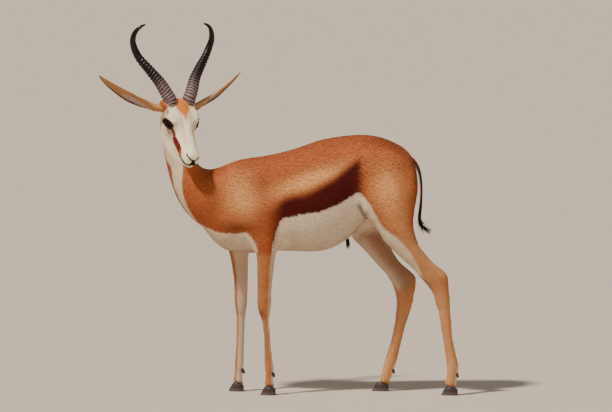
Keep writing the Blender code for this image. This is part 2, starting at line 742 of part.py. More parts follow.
def horn_body(side, grow, start=0.0):
    """Ringed horn from its socket to its hooked tip."""
    rows = smooth_rows(HORN, 8)
    centres = [level_point(side, row[0], row[1], row[2]) for row in rows]
    travelled = [0.0]
    for first, second in zip(centres, centres[1:]):
        travelled.append(travelled[-1] + (second - first).length)
    length = travelled[-1]
    ringed = length * HORN_RING_SHARE
    root = 0.024
    stations = []
    if grow:
        stations = [0.0, 0.012, root - 0.004, root - 0.0035, 0.040, 0.062]
    else:
        stations = [0.0006, 0.012, root - 0.004]
        pitch = (ringed - root) / HORN_RINGS
        for number in range(HORN_RINGS):
            begin = root + number * pitch
            stations += [begin, begin + 0.34 * pitch, begin + 0.66 * pitch]
        stations += [ringed, ringed + 0.25 * (length - ringed), ringed + 0.5 * (length - ringed)]
        stations += [ringed + 0.7 * (length - ringed), ringed + 0.85 * (length - ringed), length]
    axes = np.array([[c.x, c.y, c.z] for c in centres])
    radii = np.array([row[3] for row in rows])
    rings = []
    sideways = level_frame()[0]
    for place in stations:
        centre = Vector([float(np.interp(place, travelled, axes[:, k])) for k in range(3)])
        ahead = Vector([float(np.interp(place + 0.004, travelled, axes[:, k])) for k in range(3)])
        behind = Vector([float(np.interp(place - 0.004, travelled, axes[:, k])) for k in range(3)])
        along = (ahead - behind).normalized()
        radius = float(np.interp(place, travelled, radii)) + grow
        if grow and place > root - 0.004:
            radius += HORN_RING_HEIGHT
        if not grow and root <= place < ringed:
            phase = ((place - root) / ((ringed - root) / HORN_RINGS)) % 1.0
            fade = 1.0 - 0.6 * (place - root) / (ringed - root)
            if 0.2 < phase < 0.8:
                radius += HORN_RING_HEIGHT * fade
            else:
                radius -= 0.35 * HORN_RING_HEIGHT * fade
        first = (sideways - along * sideways.dot(along)).normalized()
        second = along.cross(first)
        rings.append([
            centre + first * math.cos(2.0 * math.pi * k / 11) * radius
            + second * math.sin(2.0 * math.pi * k / 11) * radius * 1.06
            for k in range(11)
        ])
    return loft("horn", rings)


def ear_body(side, grow):
    """Leaf-shaped ear with an open cup, closed at its root; grown to cut its seat."""
    rows = smooth_rows(EAR, 2)
    if grow:
        rows = rows[:5]
    left, back, high = level_frame()
    centres = [level_point(side, row[0], row[1], row[2]) for row in rows]
    facing = (-back * 0.52 - high * 0.80 + left * side * 0.10).normalized()
    if grow:
        centres[0] = centres[0] + (centres[0] - centres[1]).normalized() * 2.0 * grow
    rings = []
    count = 7
    for index, row in enumerate(rows):
        before = centres[max(index - 1, 0)]
        after = centres[min(index + 1, len(rows) - 1)]
        along = (after - before).normalized()
        cup = (facing - along * facing.dot(along)).normalized()
        across = along.cross(cup).normalized()
        half = row[3] + grow
        depth = row[4] + grow
        opening = min(1.0, max(0.0, (index - EAR_STUB_RINGS) / 4.0))
        wall = min(EAR_WALL, 0.55 * depth)
        outer = []
        inner = []
        for k in range(count):
            t = math.pi * k / (count - 1)
            outer.append(centres[index] - across * math.cos(t) * half - cup * math.sin(t) * depth)
        for k in range(1, count - 1):
            t = math.pi * k / (count - 1)
            flat = centres[index] - across * math.cos(t) * half + cup * math.sin(t) * depth * 0.75
            inner_half = half - wall * 0.75
            hollow = centres[index] - across * math.cos(t) * inner_half - cup * math.sin(t) * (depth - wall)
            inner.append(flat.lerp(hollow, opening))
        rings.append(outer + inner[::-1])
    return loft("ear", rings)


def claw_body(toe, heel, centre, side):
    """One half of a cloven hoof standing on its flat sole."""
    rings = []
    for level, spread in ((0.0, 0.97), (0.12, 1.0), (0.55, 0.985), (1.0, 0.93)):
        front = toe + TOE_SLOPE * level
        rear = heel - 0.001 * level
        ring = []
        for k in range(9):
            s = k / 8.0
            x = front + (rear - front) * s
            width = CLAW_WIDTH * spread * (1.0 - (1.0 - s) ** 2.1) ** 0.62 * (1.0 - 0.30 * max(0.0, s - 0.72) / 0.28)
            ring.append((x, CLAW_INNER + max(width, 0.0022)))
        for k in range(7, 0, -1):
            s = k / 8.0
            x = front + (rear - front) * s
            hollow = 0.0007 * math.sin(math.pi * s) * (1.0 - level)
            ring.append((x, CLAW_INNER + hollow))
        ring.append((front + 0.0015, CLAW_INNER + 0.0003))
        top = []
        for x, y in ring:
            share = (x - (toe + TOE_SLOPE)) / (heel - toe - TOE_SLOPE)
            share = max(-0.2, min(1.05, share))
            height = CORONET_FRONT + (CORONET_BACK - CORONET_FRONT) * share
            top.append(Vector((x, centre + side * y, height * level)))
        rings.append(top)
    return loft("claw", rings)


def coronet_plane(toe, heel):
    """Point and upward normal of the parting between pastern and hoof."""
    start = Vector((toe + TOE_SLOPE, 0.0, CORONET_FRONT))
    end = Vector((heel, 0.0, CORONET_BACK))
    along = (end - start).normalized()
    normal = Vector((-along.z, 0.0, along.x))
    return start, normal


def dewclaw_body(edge, centre, side, grow):
    """Small spare claw at the back of the fetlock."""
    x = edge_x(edge, DEWCLAW_HEIGHT) - 0.0015
    radii = [r + grow for r in DEWCLAW_RADII]
    turn = Matrix.Rotation(math.radians(-24.0), 3, "Y")
    return ellipsoid(
        "dewclaw", (x, centre + side * 0.0090, DEWCLAW_HEIGHT), radii, turn, 6, 7
    )


def tail_core(grow, stop=None):
    """Thin tail hanging against the rump."""
    rows = smooth_rows(TAIL, 2)
    if stop:
        rows = rows[:stop]
    rings = []
    for index, (x, z, radius) in enumerate(rows):
        before = rows[max(index - 1, 0)]
        after = rows[min(index + 1, len(rows) - 1)]
        along = Vector((after[0] - before[0], 0.0, after[1] - before[1])).normalized()
        cross = Vector((0.0, 1.0, 0.0)).cross(along)
        size = radius + grow
        start = Vector((x, 0.0, z))
        if grow and index == 0:
            start = start - along * 2.0 * grow
        rings.append([
            start + cross * math.cos(2.0 * math.pi * k / 10) * size
            + Vector((0.0, 1.0, 0.0)) * math.sin(2.0 * math.pi * k / 10) * size * 0.92
            for k in range(10)
        ])
    return loft("tail core", rings)


def tail_lock(height, length, swing, lean, half):
    """Flat tapered lock of the tail's brush."""
    rings = []
    heights = [row[1] for row in reversed(TAIL)]
    places = [row[0] for row in reversed(TAIL)]
    for share in (0.0, 0.35, 0.72, 1.0):
        z = height - length * share
        base = float(np.interp(max(z, 0.560), heights, places))
        x = base + swing * share ** 1.6
        y = lean * (share ** 0.7) * 1.4
        width = half * (0.65 + 1.1 * share - 1.62 * share * share) + 0.0006
        thick = max(0.0022 * (1.0 - 0.75 * share), 0.0005)
        rings.append([
            Vector((x + math.cos(2.0 * math.pi * k / 6) * width, y + math.sin(2.0 * math.pi * k / 6) * thick, z))
            for k in range(6)
        ])
    return loft("tail lock", rings)


def neck_zone(grow):
    """Convex zone holding the neck between the shoulder plane and the planes under the head."""
    zone = block("neck zone", (-0.60, -0.25, 0.40), (0.10, 0.25, 1.10))
    slope = Vector((0.0, -0.60, 1.0)).normalized()
    trim(zone, Vector((0.0, -0.052, 0.812)) + slope * grow, -slope)
    front = Vector((0.0, -1.0, 0.42)).normalized()
    trim(zone, Vector((0.0, -0.052, 0.812)) + front * grow, -front)
    base = Vector((NECK_BASE_NORMAL[0], 0.0, NECK_BASE_NORMAL[1])).normalized()
    trim(zone, Vector((NECK_BASE_POINT[0], 0.0, NECK_BASE_POINT[1])) - base * grow, base)
    return zone


def build_flesh():
    """Fused skin of trunk, neck and legs, and the finer fused skin of the head with the neck's top."""
    items = [torso_form(), neck_form()]
    items.append(leg_form("fore left", FORE_LEFT_FRONT, FORE_LEFT_BACK, FORE_SIDE, -1.0))
    items.append(leg_form("fore right", FORE_RIGHT_FRONT, FORE_RIGHT_BACK, FORE_SIDE, 1.0))
    items.append(leg_form("hind left", HIND_LEFT_FRONT, HIND_LEFT_BACK, HIND_SIDE, -1.0))
    items.append(leg_form("hind right", HIND_RIGHT_FRONT, HIND_RIGHT_BACK, HIND_SIDE, 1.0))
    for centre, radii, turn in BODY_MASSES:
        spin = Matrix.Rotation(math.radians(turn), 3, "Y")
        for side in (-1.0, 1.0):
            items.append(ellipsoid("mass", (centre[0], side * centre[1], centre[2]), radii, spin))
    body = join("body flesh", items)
    fuse(body, BODY_VOXEL, 8)
    soften_trunk(body)
    head = join("head flesh", head_forms() + [neck_form()])
    fuse(head, HEAD_VOXEL, 7)
    lines = [(line, 0.0026, 0.0040) for line in mirrored(MOUTH_LINE)]
    lines += [(line, 0.0026, 0.0052) for line in mirrored(NOSTRIL_LINE)]
    lines.append((PHILTRUM_LINE, 0.0022, 0.0030))
    press(head, lines)
    return body, head


def build_trunk(body):
    """Torso and neck nodes from the body skin."""
    torso = thin_out(copy_of(body, "torso"), TARGETS["torso"] + 1900)
    combine(torso, neck_zone(GAP), "DIFFERENCE")
    combine(torso, block("fore zone", (-0.45, -0.3, -0.1), (0.02, 0.3, FORE_CUT)), "DIFFERENCE")
    combine(torso, block("hind zone", (0.16, -0.3, -0.1), (0.62, 0.3, HIND_CUT)), "DIFFERENCE")
    return torso


def build():
    """Make every sub-part of the springbok."""
    clear_scene()
    parts = []
    body, head = build_flesh()

    sheath = ellipsoid("sheath", SHEATH[0], SHEATH[1], Matrix.Rotation(math.radians(-24.0), 3, "Y"), 8, 12)
    sheath_seat = ellipsoid(
        "sheath seat", SHEATH[0], [r + GAP for r in SHEATH[1]], Matrix.Rotation(math.radians(-24.0), 3, "Y"), 8, 12
    )
    torso = build_trunk(body)
    combine(torso, sheath_seat, "DIFFERENCE")
    combine(torso, tail_core(GAP * 1.2, 15), "DIFFERENCE")
    parts.append(paint(torso, "torso", "coat"))
    parts.append(paint(sheath, "sheath", "tail"))

    neck = thin_out(copy_of(body, "neck"), 6000)
    combine(neck, neck_zone(0.0), "INTERSECT")
    parts.append(paint(neck, "neck", "coat"))

    trim(head, Vector((0.0, 0.0, 0.70)), Vector((0.0, 0.0, 1.0)))
    trim(head, Vector((-0.300, 0.0, 0.0)), Vector((-1.0, 0.0, 0.0)))
    combine(head, neck_zone(-0.012), "DIFFERENCE")
    details = [(head_point(-0.200, 0.0, -0.068), 0.040)]
    for side in (-1.0, 1.0):
        details.append((head_point(EYE_CENTRE[0], side * 0.052, EYE_CENTRE[2]), 0.022))
    thin_out(head, TARGETS["head"], details)
    combine(head, neck_zone(GAP), "DIFFERENCE")
    for side, word in ((-1.0, "left"), (1.0, "right")):
        centre = head_point(EYE_CENTRE[0], side * EYE_CENTRE[1], EYE_CENTRE[2])
        socket = EYE_RADIUS + 1.3 * GAP
        opening = ellipsoid("socket", centre, (socket, socket, socket), None, 9, 12)
        combine(opening, lid_cutter(side), "UNION")
        combine(head, opening, "DIFFERENCE")
        combine(head, horn_body(side, GAP), "DIFFERENCE")
        combine(head, ear_body(side, GAP), "DIFFERENCE")
        eye = ellipsoid("eye", centre, (EYE_RADIUS,) * 3, None, 9, 12)
        parts.append(paint(eye, "eye_" + word, "eye", 0.1))
        parts.append(paint(horn_body(side, 0.0), "horn_" + word, "horn", 0.4))
        parts.append(paint(ear_body(side, 0.0), "ear_" + word, "ear"))
    parts.append(paint(head, "head", "coat"))

    legs = (
        ("front_left", FORE_LEFT_BACK, -1.0, FORE_CUT, "leg_front"),
        ("front_right", FORE_RIGHT_BACK, 1.0, FORE_CUT, "leg_front"),
        ("hind_left", HIND_LEFT_BACK, -1.0, HIND_CUT, "leg_hind"),
        ("hind_right", HIND_RIGHT_BACK, 1.0, HIND_CUT, "leg_hind"),
    )
    for word, back_edge, side, cut, kind in legs:
        toe, heel, centre = HOOF_SPANS[word]
        leg = copy_of(body, word)
        trim(leg, Vector((0.0, side * 0.002, 0.0)), Vector((0.0, side, 0.0)))
        trim(leg, Vector((0.0, 0.0, cut + 0.03)), Vector((0.0, 0.0, -1.0)))
        middle = 0.5 * (toe + heel)
        span = 0.16
        if kind == "leg_front":
            trim(leg, Vector((middle - 0.09, 0.0, 0.0)), Vector((1.0, 0.0, 0.0)))
            trim(leg, Vector((middle + 0.11, 0.0, 0.0)), Vector((-1.0, 0.0, 0.0)))
        else:
            trim(leg, Vector((0.150, 0.0, 0.0)), Vector((1.0, 0.0, 0.0)))
        keep_largest(leg)
        thin_out(leg, TARGETS[kind])
        point, normal = coronet_plane(toe, heel)
        trim(leg, point + normal * GAP, normal)
        trim(leg, Vector((0.0, 0.0, cut - GAP)), Vector((0.0, 0.0, -1.0)))
        keep_largest(leg)
        for inner, place in ((-1.0, "inner"), (1.0, "outer")):
            turn = side * inner
            combine(leg, dewclaw_body(back_edge, centre, turn, GAP), "DIFFERENCE")
            claw = dewclaw_body(back_edge, centre, turn, 0.0)
            parts.append(paint(claw, "dewclaw_" + word + "_" + place, "hoof", 0.45))
            hoof = claw_body(toe, heel, centre, turn)
            parts.append(paint(hoof, "hoof_" + word + "_" + place, "hoof", 0.45))
        parts.append(paint(leg, "leg_" + word, "coat"))

    tail = tail_core(0.0)
    for row in TAIL_LOCKS:
        combine(tail, tail_lock(*row), "UNION")
    parts.append(paint(tail, "tail", "tail"))

    drop(body)
    settle(parts)


def settle(parts):
    """Stand the model on the floor with the middle of its box over the origin."""
    points = [v.co for item in parts for v in item.data.vertices]
    low = Vector([min(p[k] for p in points) for k in range(3)])
    high = Vector([max(p[k] for p in points) for k in range(3)])
    shift = Vector((-(low.x + high.x) / 2.0, -(low.y + high.y) / 2.0, -low.z))
    total = 0
    for item in parts:
        item.data.transform(Matrix.Translation(shift))
        total += len(item.data.polygons)
        state = "closed" if is_closed(item) else "OPEN"
        print("part", item.name, len(item.data.polygons), state)
    print("shift", tuple(round(v, 5) for v in shift))
    print("size", tuple(round(v, 4) for v in high - low), "triangles", total)


build()
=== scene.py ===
"""Coat, markings, horns, ears, eyes, hooves and setting of a life-size standing springbok ram."""

from __future__ import annotations

import logging
import math
import sys
from collections.abc import Callable, Iterator, Sequence
from contextlib import contextmanager
from dataclasses import dataclass, field, fields
from enum import Enum

import bmesh
import bpy
import numpy as np
from mathutils import Matrix, Vector

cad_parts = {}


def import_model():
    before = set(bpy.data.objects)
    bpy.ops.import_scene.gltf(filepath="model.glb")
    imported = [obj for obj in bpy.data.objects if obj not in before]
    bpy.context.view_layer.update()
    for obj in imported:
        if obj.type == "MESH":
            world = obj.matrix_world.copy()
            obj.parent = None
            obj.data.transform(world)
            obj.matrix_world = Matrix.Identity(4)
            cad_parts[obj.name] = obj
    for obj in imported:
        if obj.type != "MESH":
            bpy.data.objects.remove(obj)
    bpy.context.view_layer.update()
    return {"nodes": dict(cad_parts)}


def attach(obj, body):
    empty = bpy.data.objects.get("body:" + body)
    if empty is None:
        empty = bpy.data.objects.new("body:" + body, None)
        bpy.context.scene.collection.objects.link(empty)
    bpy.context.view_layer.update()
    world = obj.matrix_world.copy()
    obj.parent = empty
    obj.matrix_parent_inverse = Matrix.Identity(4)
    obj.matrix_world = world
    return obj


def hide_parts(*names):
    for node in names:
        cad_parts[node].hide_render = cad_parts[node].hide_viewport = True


LOG = logging.getLogger("springbok")

SEED = 20

# Both sides of the animal, and where the front legs end along X.
SIDES = ((-1.0, "left"), (1.0, "right"))
FORE_END = 0.05

# Hair run of face, ears and lids, and of tail and sheath.
FACE_RUN = (0.0, 1.0, 0.0)
COLUMN_RUN = (1.0, 0.0, 1.0)

# Where the rump's piece of coat starts along X.
RUMP_START = 0.19

# How far from an eye's centre its socket reaches, and how far its dark surround does.
EYE_REACH = 0.035
SURROUND_REACH = 0.055

# Degrees by which the eyes look forward and up, and the slant of their corners.
EYE_FORWARD = 31.0
EYE_UPWARD = 8.0
EYE_SLANT = 0.56

# Forms of the face: place in the head's frame, reach and height.
FACE_RELIEF = (
    (-0.1, 0.036, -0.046, 0.013, -0.0036), (-0.045, 0.046, -0.012, 0.011, 0.0028),
    (-0.022, 0.042, -0.046, 0.014, -0.0028), (-0.15, 0.028, -0.092, 0.012, 0.0016),
    (-0.088, 0.03, -0.012, 0.012, 0.0024), (-0.12, 0.03, -0.028, 0.014, -0.0022),
    (-0.15, 0.018, -0.028, 0.014, 0.0012), (0.0, 0.0, 0.002, 0.014, 0.0015),
    (-0.208, 0.0, -0.048, 0.006, -0.0016), (-0.09, 0.0, -0.01, 0.014, -0.0014),
    (-0.07, 0.04, -0.08, 0.016, 0.0022), (-0.11, 0.034, -0.075, 0.014, 0.0014),
)

# Place of the measuring frame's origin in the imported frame.
ORIGIN = Vector((0.06796, -0.0049, 0.0))

# Turned head: the point between the horns, its turn and its pitch.
HEAD_ORIGIN = Vector((-0.3877, -0.03, 0.959)) + ORIGIN
HEAD_YAW = math.radians(24.0)
HEAD_PITCH = math.radians(45.0)

# Skull and muzzle sections: station, upper line, lower line, half width, height share, lower pinch.
HEAD_SECTIONS = (
    (0.052, -0.05, -0.078, 0.018, 0.5, 1.0),
    (0.04, -0.035, -0.094, 0.034, 0.48, 1.0),
    (0.022, -0.017, -0.108, 0.043, 0.46, 1.05),
    (0.004, -0.004, -0.117, 0.046, 0.42, 1.15),
    (-0.02, 0.001, -0.121, 0.048, 0.38, 1.25),
    (-0.045, 0.0, -0.119, 0.049, 0.36, 1.3),
    (-0.07, -0.005, -0.114, 0.045, 0.38, 1.3),
    (-0.095, -0.012, -0.1135, 0.0385, 0.5, 1.22),
    (-0.12, -0.019, -0.113, 0.033, 0.6, 1.12),
    (-0.145, -0.025, -0.112, 0.0295, 0.62, 1.02),
    (-0.17, -0.03, -0.11, 0.028, 0.58, 0.95),
    (-0.188, -0.034, -0.1075, 0.027, 0.48, 0.92),
    (-0.201, -0.038, -0.103, 0.0245, 0.47, 0.92),
    (-0.21, -0.043, -0.095, 0.0195, 0.46, 0.95),
    (-0.2155, -0.05, -0.082, 0.011, 0.5, 1.0),
)

# Eyes in the head's frame, and half the length and height of the opening between the lids.
EYE_PLACE = (-0.0585, 0.044, -0.0445)
LID_LENGTH = 0.0158
LID_HEIGHT = 0.0118

# Masses on both sides of the head: brow, orbit, cheek, nostril wing, upper lip, lower lip, ear root, horn base.
HEAD_MASSES = (
    ((-0.05, 0.0385, -0.02), (0.034, 0.016, 0.012)),
    ((-0.06, 0.04, -0.042), (0.029, 0.0195, 0.023)),
    ((-0.018, 0.03, -0.08), (0.044, 0.017, 0.032)),
    ((-0.2, 0.0125, -0.053), (0.0135, 0.012, 0.0125)),
    ((-0.196, 0.0135, -0.074), (0.0215, 0.014, 0.0125)),
    ((-0.186, 0.006, -0.097), (0.023, 0.015, 0.01)),
    ((0.009, 0.047, -0.034), (0.02, 0.017, 0.02)),
    ((-0.003, 0.033, -0.013), (0.026, 0.025, 0.0185)),
)

# Neck sections: throat point, nape point, sideways centre, half width.
NECK_SECTIONS = (
    (-0.27, 0.515, -0.085, 0.77, 0.0, 0.098),
    (-0.325, 0.547, -0.17, 0.768, 0.0, 0.094),
    (-0.368, 0.582, -0.235, 0.748, 0.0, 0.083),
    (-0.4, 0.63, -0.282, 0.731, 0.0, 0.071),
    (-0.42, 0.68, -0.318, 0.735, 0.0, 0.06),
    (-0.436, 0.738, -0.336, 0.765, 0.0, 0.049),
    (-0.449, 0.8, -0.345, 0.808, 0.0, 0.046),
    (-0.454, 0.85, -0.354, 0.852, 0.003, 0.044),
    (-0.455, 0.89, -0.357, 0.893, 0.008, 0.043),
    (-0.45, 0.922, -0.36, 0.926, 0.014, 0.04),
    (-0.434, 0.945, -0.372, 0.95, 0.018, 0.028),
)

# Horn centre line in the turned, level head frame: sideways, backwards, up, then radius.
HORN_LINE = (
    (0.031, 0.006, -0.02, 0.02), (0.0333, 0.006, 0.0, 0.02), (0.042, 0.011, 0.018, 0.0196),
    (0.051, 0.019, 0.037, 0.0188), (0.0625, 0.032, 0.06, 0.0176), (0.076, 0.043, 0.08, 0.0165),
    (0.093, 0.054, 0.103, 0.0152), (0.1085, 0.063, 0.123, 0.014), (0.1215, 0.069, 0.143, 0.0125),
    (0.132, 0.07, 0.166, 0.011), (0.1385, 0.067, 0.189, 0.0096), (0.136, 0.061, 0.212, 0.008),
    (0.1265, 0.053, 0.229, 0.0062), (0.1145, 0.048, 0.2385, 0.0044), (0.103, 0.047, 0.243, 0.0024),
)

# Ear centre line in the turned, level head frame: sideways, backwards, up, half width, cup depth.
EAR_LINE = (
    (0.046, 0.026, -0.034, 0.0125, 0.01), (0.062, 0.031, -0.03, 0.0135, 0.0125),
    (0.078, 0.036, -0.026, 0.016, 0.0145), (0.098, 0.042, -0.019, 0.0205, 0.015),
    (0.12, 0.048, -0.01, 0.024, 0.014), (0.145, 0.056, 0.002, 0.0252, 0.012),
    (0.17, 0.063, 0.017, 0.0235, 0.01), (0.195, 0.071, 0.034, 0.0195, 0.008),
    (0.218, 0.078, 0.051, 0.014, 0.0058), (0.238, 0.083, 0.068, 0.0078, 0.0036),
    (0.25, 0.0855, 0.079, 0.0026, 0.0016),
)

# Tail centre line: X, height, radius.
TAIL_LINE = (
    (0.356, 0.768, 0.009), (0.369, 0.757, 0.0086), (0.3795, 0.741, 0.0078), (0.3875, 0.72, 0.0068),
    (0.392, 0.695, 0.006), (0.394, 0.665, 0.0055), (0.3935, 0.635, 0.0054), (0.3915, 0.605, 0.006),
    (0.389, 0.583, 0.0068), (0.3885, 0.564, 0.0064), (0.393, 0.549, 0.0052), (0.403, 0.538, 0.003),
)

# Lower edge of the brown side, X against height: shared rows, then on the left, on the right and between the legs.
CHEST_ROWS = ((-0.325, 0.5525), (-0.2925, 0.5363), (-0.26, 0.5223))
BELLY_ROWS = ((0.0, 0.5817), (0.065, 0.5925), (0.1193, 0.6142), (0.1625, 0.6402), (0.1895, 0.6575))
LEFT_EDGE = (
    *CHEST_ROWS, (-0.2112, 0.5216), (-0.1732, 0.5255), (-0.1518, 0.5005), (-0.1407, 0.4777), (-0.13, 0.3),
    (-0.101, 0.3), (-0.0959, 0.429), (-0.091, 0.4745), (-0.0845, 0.5005), (-0.0757, 0.533), (-0.0617, 0.5671),
    (-0.0536, 0.572), *BELLY_ROWS, (0.2275, 0.614), (0.2655, 0.541), (0.3143, 0.508), (0.3565, 0.46),
    (0.38, 0.42), (0.403, 0.37),
)
RIGHT_EDGE = (
    *CHEST_ROWS, (-0.24, 0.512), (-0.226, 0.485), (-0.216, 0.3), (-0.178, 0.3), (-0.172, 0.429),
    (-0.166, 0.4745), (-0.158, 0.5005), (-0.14, 0.53), (-0.1, 0.558), (-0.0536, 0.572), *BELLY_ROWS,
    (0.204, 0.615), (0.212, 0.57), (0.226, 0.52), (0.248, 0.47), (0.272, 0.42), (0.295, 0.37), (0.32, 0.3),
    (0.42, 0.3),
)
UNDER_EDGE = (
    *CHEST_ROWS, (-0.1732, 0.5255), (-0.0757, 0.533), (-0.0617, 0.5671), *BELLY_ROWS, (0.2275, 0.64),
    (0.32, 0.63), (0.42, 0.62),
)

# Upper edge of the dark flank band, X against height.
BAND_EDGE = (
    (-0.091, 0.585), (-0.0705, 0.6035), (-0.0553, 0.6208), (-0.0325, 0.6305), (0.0218, 0.6412),
    (0.065, 0.6646), (0.1082, 0.69), (0.1462, 0.7215), (0.1732, 0.7442), (0.1885, 0.754),
)

# White stripe of the throat: height against its front and rear edges in X.
THROAT_FRONT = (
    (0.559, -0.3347), (0.5817, -0.3616), (0.6263, -0.39), (0.6793, -0.4103), (0.74, -0.4183),
    (0.7605, -0.433), (0.8, -0.442), (0.86, -0.45),
)
THROAT_REAR = (
    (0.5411, -0.3217), (0.5655, -0.3396), (0.5899, -0.3559), (0.6175, -0.3689), (0.6467, -0.3786),
    (0.6857, -0.384), (0.7248, -0.38), (0.7605, -0.378), (0.8, -0.37), (0.86, -0.36),
)

# Dark stripe from the eye to the corner of the mouth, in the head's frame: X, height, half width.
STRIPE_LINE = (
    (-0.174, -0.079, 0.006), (-0.165, -0.073, 0.011), (-0.155, -0.0715, 0.0135), (-0.14, -0.071, 0.015),
    (-0.125, -0.0705, 0.0145), (-0.11, -0.0675, 0.0125), (-0.1, -0.06, 0.0098), (-0.092, -0.053, 0.0078),
    (-0.084, -0.045, 0.0064),
)

# Orange patch of the forehead: X in the head's frame, half width.
PATCH_LINE = (
    (-0.09, 0.0), (-0.083, 0.0016), (-0.07, 0.0036), (-0.06, 0.0085), (-0.042, 0.02), (-0.02, 0.026),
    (0.02, 0.027),
)

# Soft forms under the coat: X, height, half length, half height, lift.
BODY_RELIEF = (
    (-0.19, 0.665, 0.04, 0.08, 0.005), (-0.135, 0.6, 0.046, 0.036, 0.0045),
    (-0.098, 0.665, 0.03, 0.075, -0.003), (-0.25, 0.65, 0.028, 0.08, -0.0028),
    (-0.3, 0.62, 0.026, 0.06, 0.003), (0.13, 0.735, 0.05, 0.04, -0.0036),
    (0.168, 0.69, 0.028, 0.06, -0.0036), (0.235, 0.79, 0.026, 0.02, 0.0034),
    (0.27, 0.69, 0.05, 0.07, 0.0045), (0.345, 0.69, 0.024, 0.08, -0.0028),
    (0.29, 0.59, 0.04, 0.04, 0.003), (-0.06, 0.76, 0.06, 0.02, 0.0022),
    (0.06, 0.77, 0.07, 0.02, 0.0022), (0.2, 0.606, 0.009, 0.02, -0.004),
    (0.216, 0.578, 0.009, 0.02, -0.004),
)

Rows = Sequence[Sequence[float]]
Colour = tuple[float, float, float]


def srgb(red: float, green: float, blue: float) -> Colour:
    """Turn a display colour of 0 to 255 into the linear values that shaders use.

    Args:
        red: Red part.
        green: Green part.
        blue: Blue part.

    Returns:
        The three linear values.
    """
    def one(value: float) -> float:
        """Linear value of one part."""
        value /= 255.0
        return value / 12.92 if value <= 0.04045 else ((value + 0.055) / 1.055) ** 2.4

    return one(red), one(green), one(blue)


class Shade(Enum):
    """Colours of the coat."""

    CINNAMON = srgb(174, 92, 50)
    # Paler cinnamon laid on the shoulder, the flank above the band and the thigh: painted highlight.
    PALE_CINNAMON = srgb(238, 172, 108)
    RUST = srgb(126, 54, 24)
    BAND = srgb(74, 8, 2)
    WHITE = srgb(228, 206, 178)
    CREAM = srgb(252, 242, 208)
    # Greyish mauve laid on the white underside, the brow, the cheeks and below the eyes: painted shade.
    PAINTED_SHADE_MAUVE = srgb(172, 136, 118)
    LEG = srgb(176, 110, 64)
    CANNON = srgb(202, 142, 94)
    # Darker white of the legs' inner faces: painted shade.
    LEG_WHITE = srgb(206, 178, 154)
    # Brown-mauve of the hind legs' inner faces: painted shade.
    INNER = srgb(170, 126, 96)
    TEMPLE = srgb(172, 96, 46)
    FOREHEAD = srgb(222, 122, 28)
    OCHRE = srgb(206, 152, 92)
    STRIPE = srgb(108, 24, 10)
    DARK = srgb(40, 22, 18)
    LIP = srgb(34, 20, 20)

    @property
    def array(self) -> np.ndarray:
        """The colour as an array."""
        return np.array(self.value)


def step(low: float | np.ndarray, high: float | np.ndarray, value: np.ndarray) -> np.ndarray:
    """Smooth step from 0 at low to 1 at high.

    Args:
        low: Value where the step starts.
        high: Value where it ends; may be less than low.
        value: Values to weigh.

    Returns:
        Weights from 0 to 1.
    """
    share = np.clip((value - low) / (high - low), 0.0, 1.0)
    return share * share * (3.0 - 2.0 * share)


def smooth_rows(rows: Rows, count: int) -> np.ndarray:
    """Fill a table with rows on a smooth curve through its own rows.

    Args:
        rows: Rows of numbers.
        count: Spans to make of each span.

    Returns:
        The denser table.
    """
    table = np.array(rows, float)
    padded = np.vstack([2 * table[0] - table[1], table, 2 * table[-1] - table[-2]])
    made = []
    for index in range(len(table) - 1):
        a, b, c, d = padded[index:index + 4]
        for part in range(count):
            t = part / count
            made.append(0.5 * (
                2 * b + (c - a) * t + (2 * a - 5 * b + 4 * c - d) * t * t + (3 * b - a - 3 * c + d) * t ** 3
            ))
    made.append(table[-1])
    return np.array(made)


def unit(vectors: np.ndarray) -> np.ndarray:
    """Vectors scaled to length one."""
    return vectors / np.maximum(np.linalg.norm(vectors, axis=-1, keepdims=True), 1e-9)


def ripple(points: np.ndarray, scale: float, seed: float = 0.0) -> np.ndarray:
    """Soft irregular wave over space, between about -1 and 1, the same each run.

    Args:
        points: Points in metres.
        scale: Waves per metre.
        seed: Shift of the pattern.

    Returns:
        One value for each point.
    """
    x, y, z = (points * scale + seed).T
    value = np.sin(x * 1.7 + 2.1 * np.sin(y * 1.3 + z * 0.7)) + np.sin(y * 2.3 + 1.7 * np.sin(z * 1.9 - x))
    return (value + np.sin(z * 2.9 + 1.3 * np.sin(x * 2.2 + y * 1.1))) / 3.0


def blob(*spans: tuple[np.ndarray, float, float]) -> np.ndarray:
    """Soft bell in space; each span is values, the middle and the width."""
    return np.exp(-sum(((value - middle) / wide) ** 2 for value, middle, wide in spans))


def on_table(values: np.ndarray, table: Rows, column: int = 1) -> np.ndarray:
    """Read a column of a table at values of its first column."""
    rows = np.array(table)
    return np.interp(values, rows[:, 0], rows[:, column])


def sizes(width: object, thickness: object, length: np.ndarray) -> np.ndarray:
    """Rows of width, thickness and length of tufts."""
    return np.stack(np.broadcast_arrays(width, thickness, length), 1)


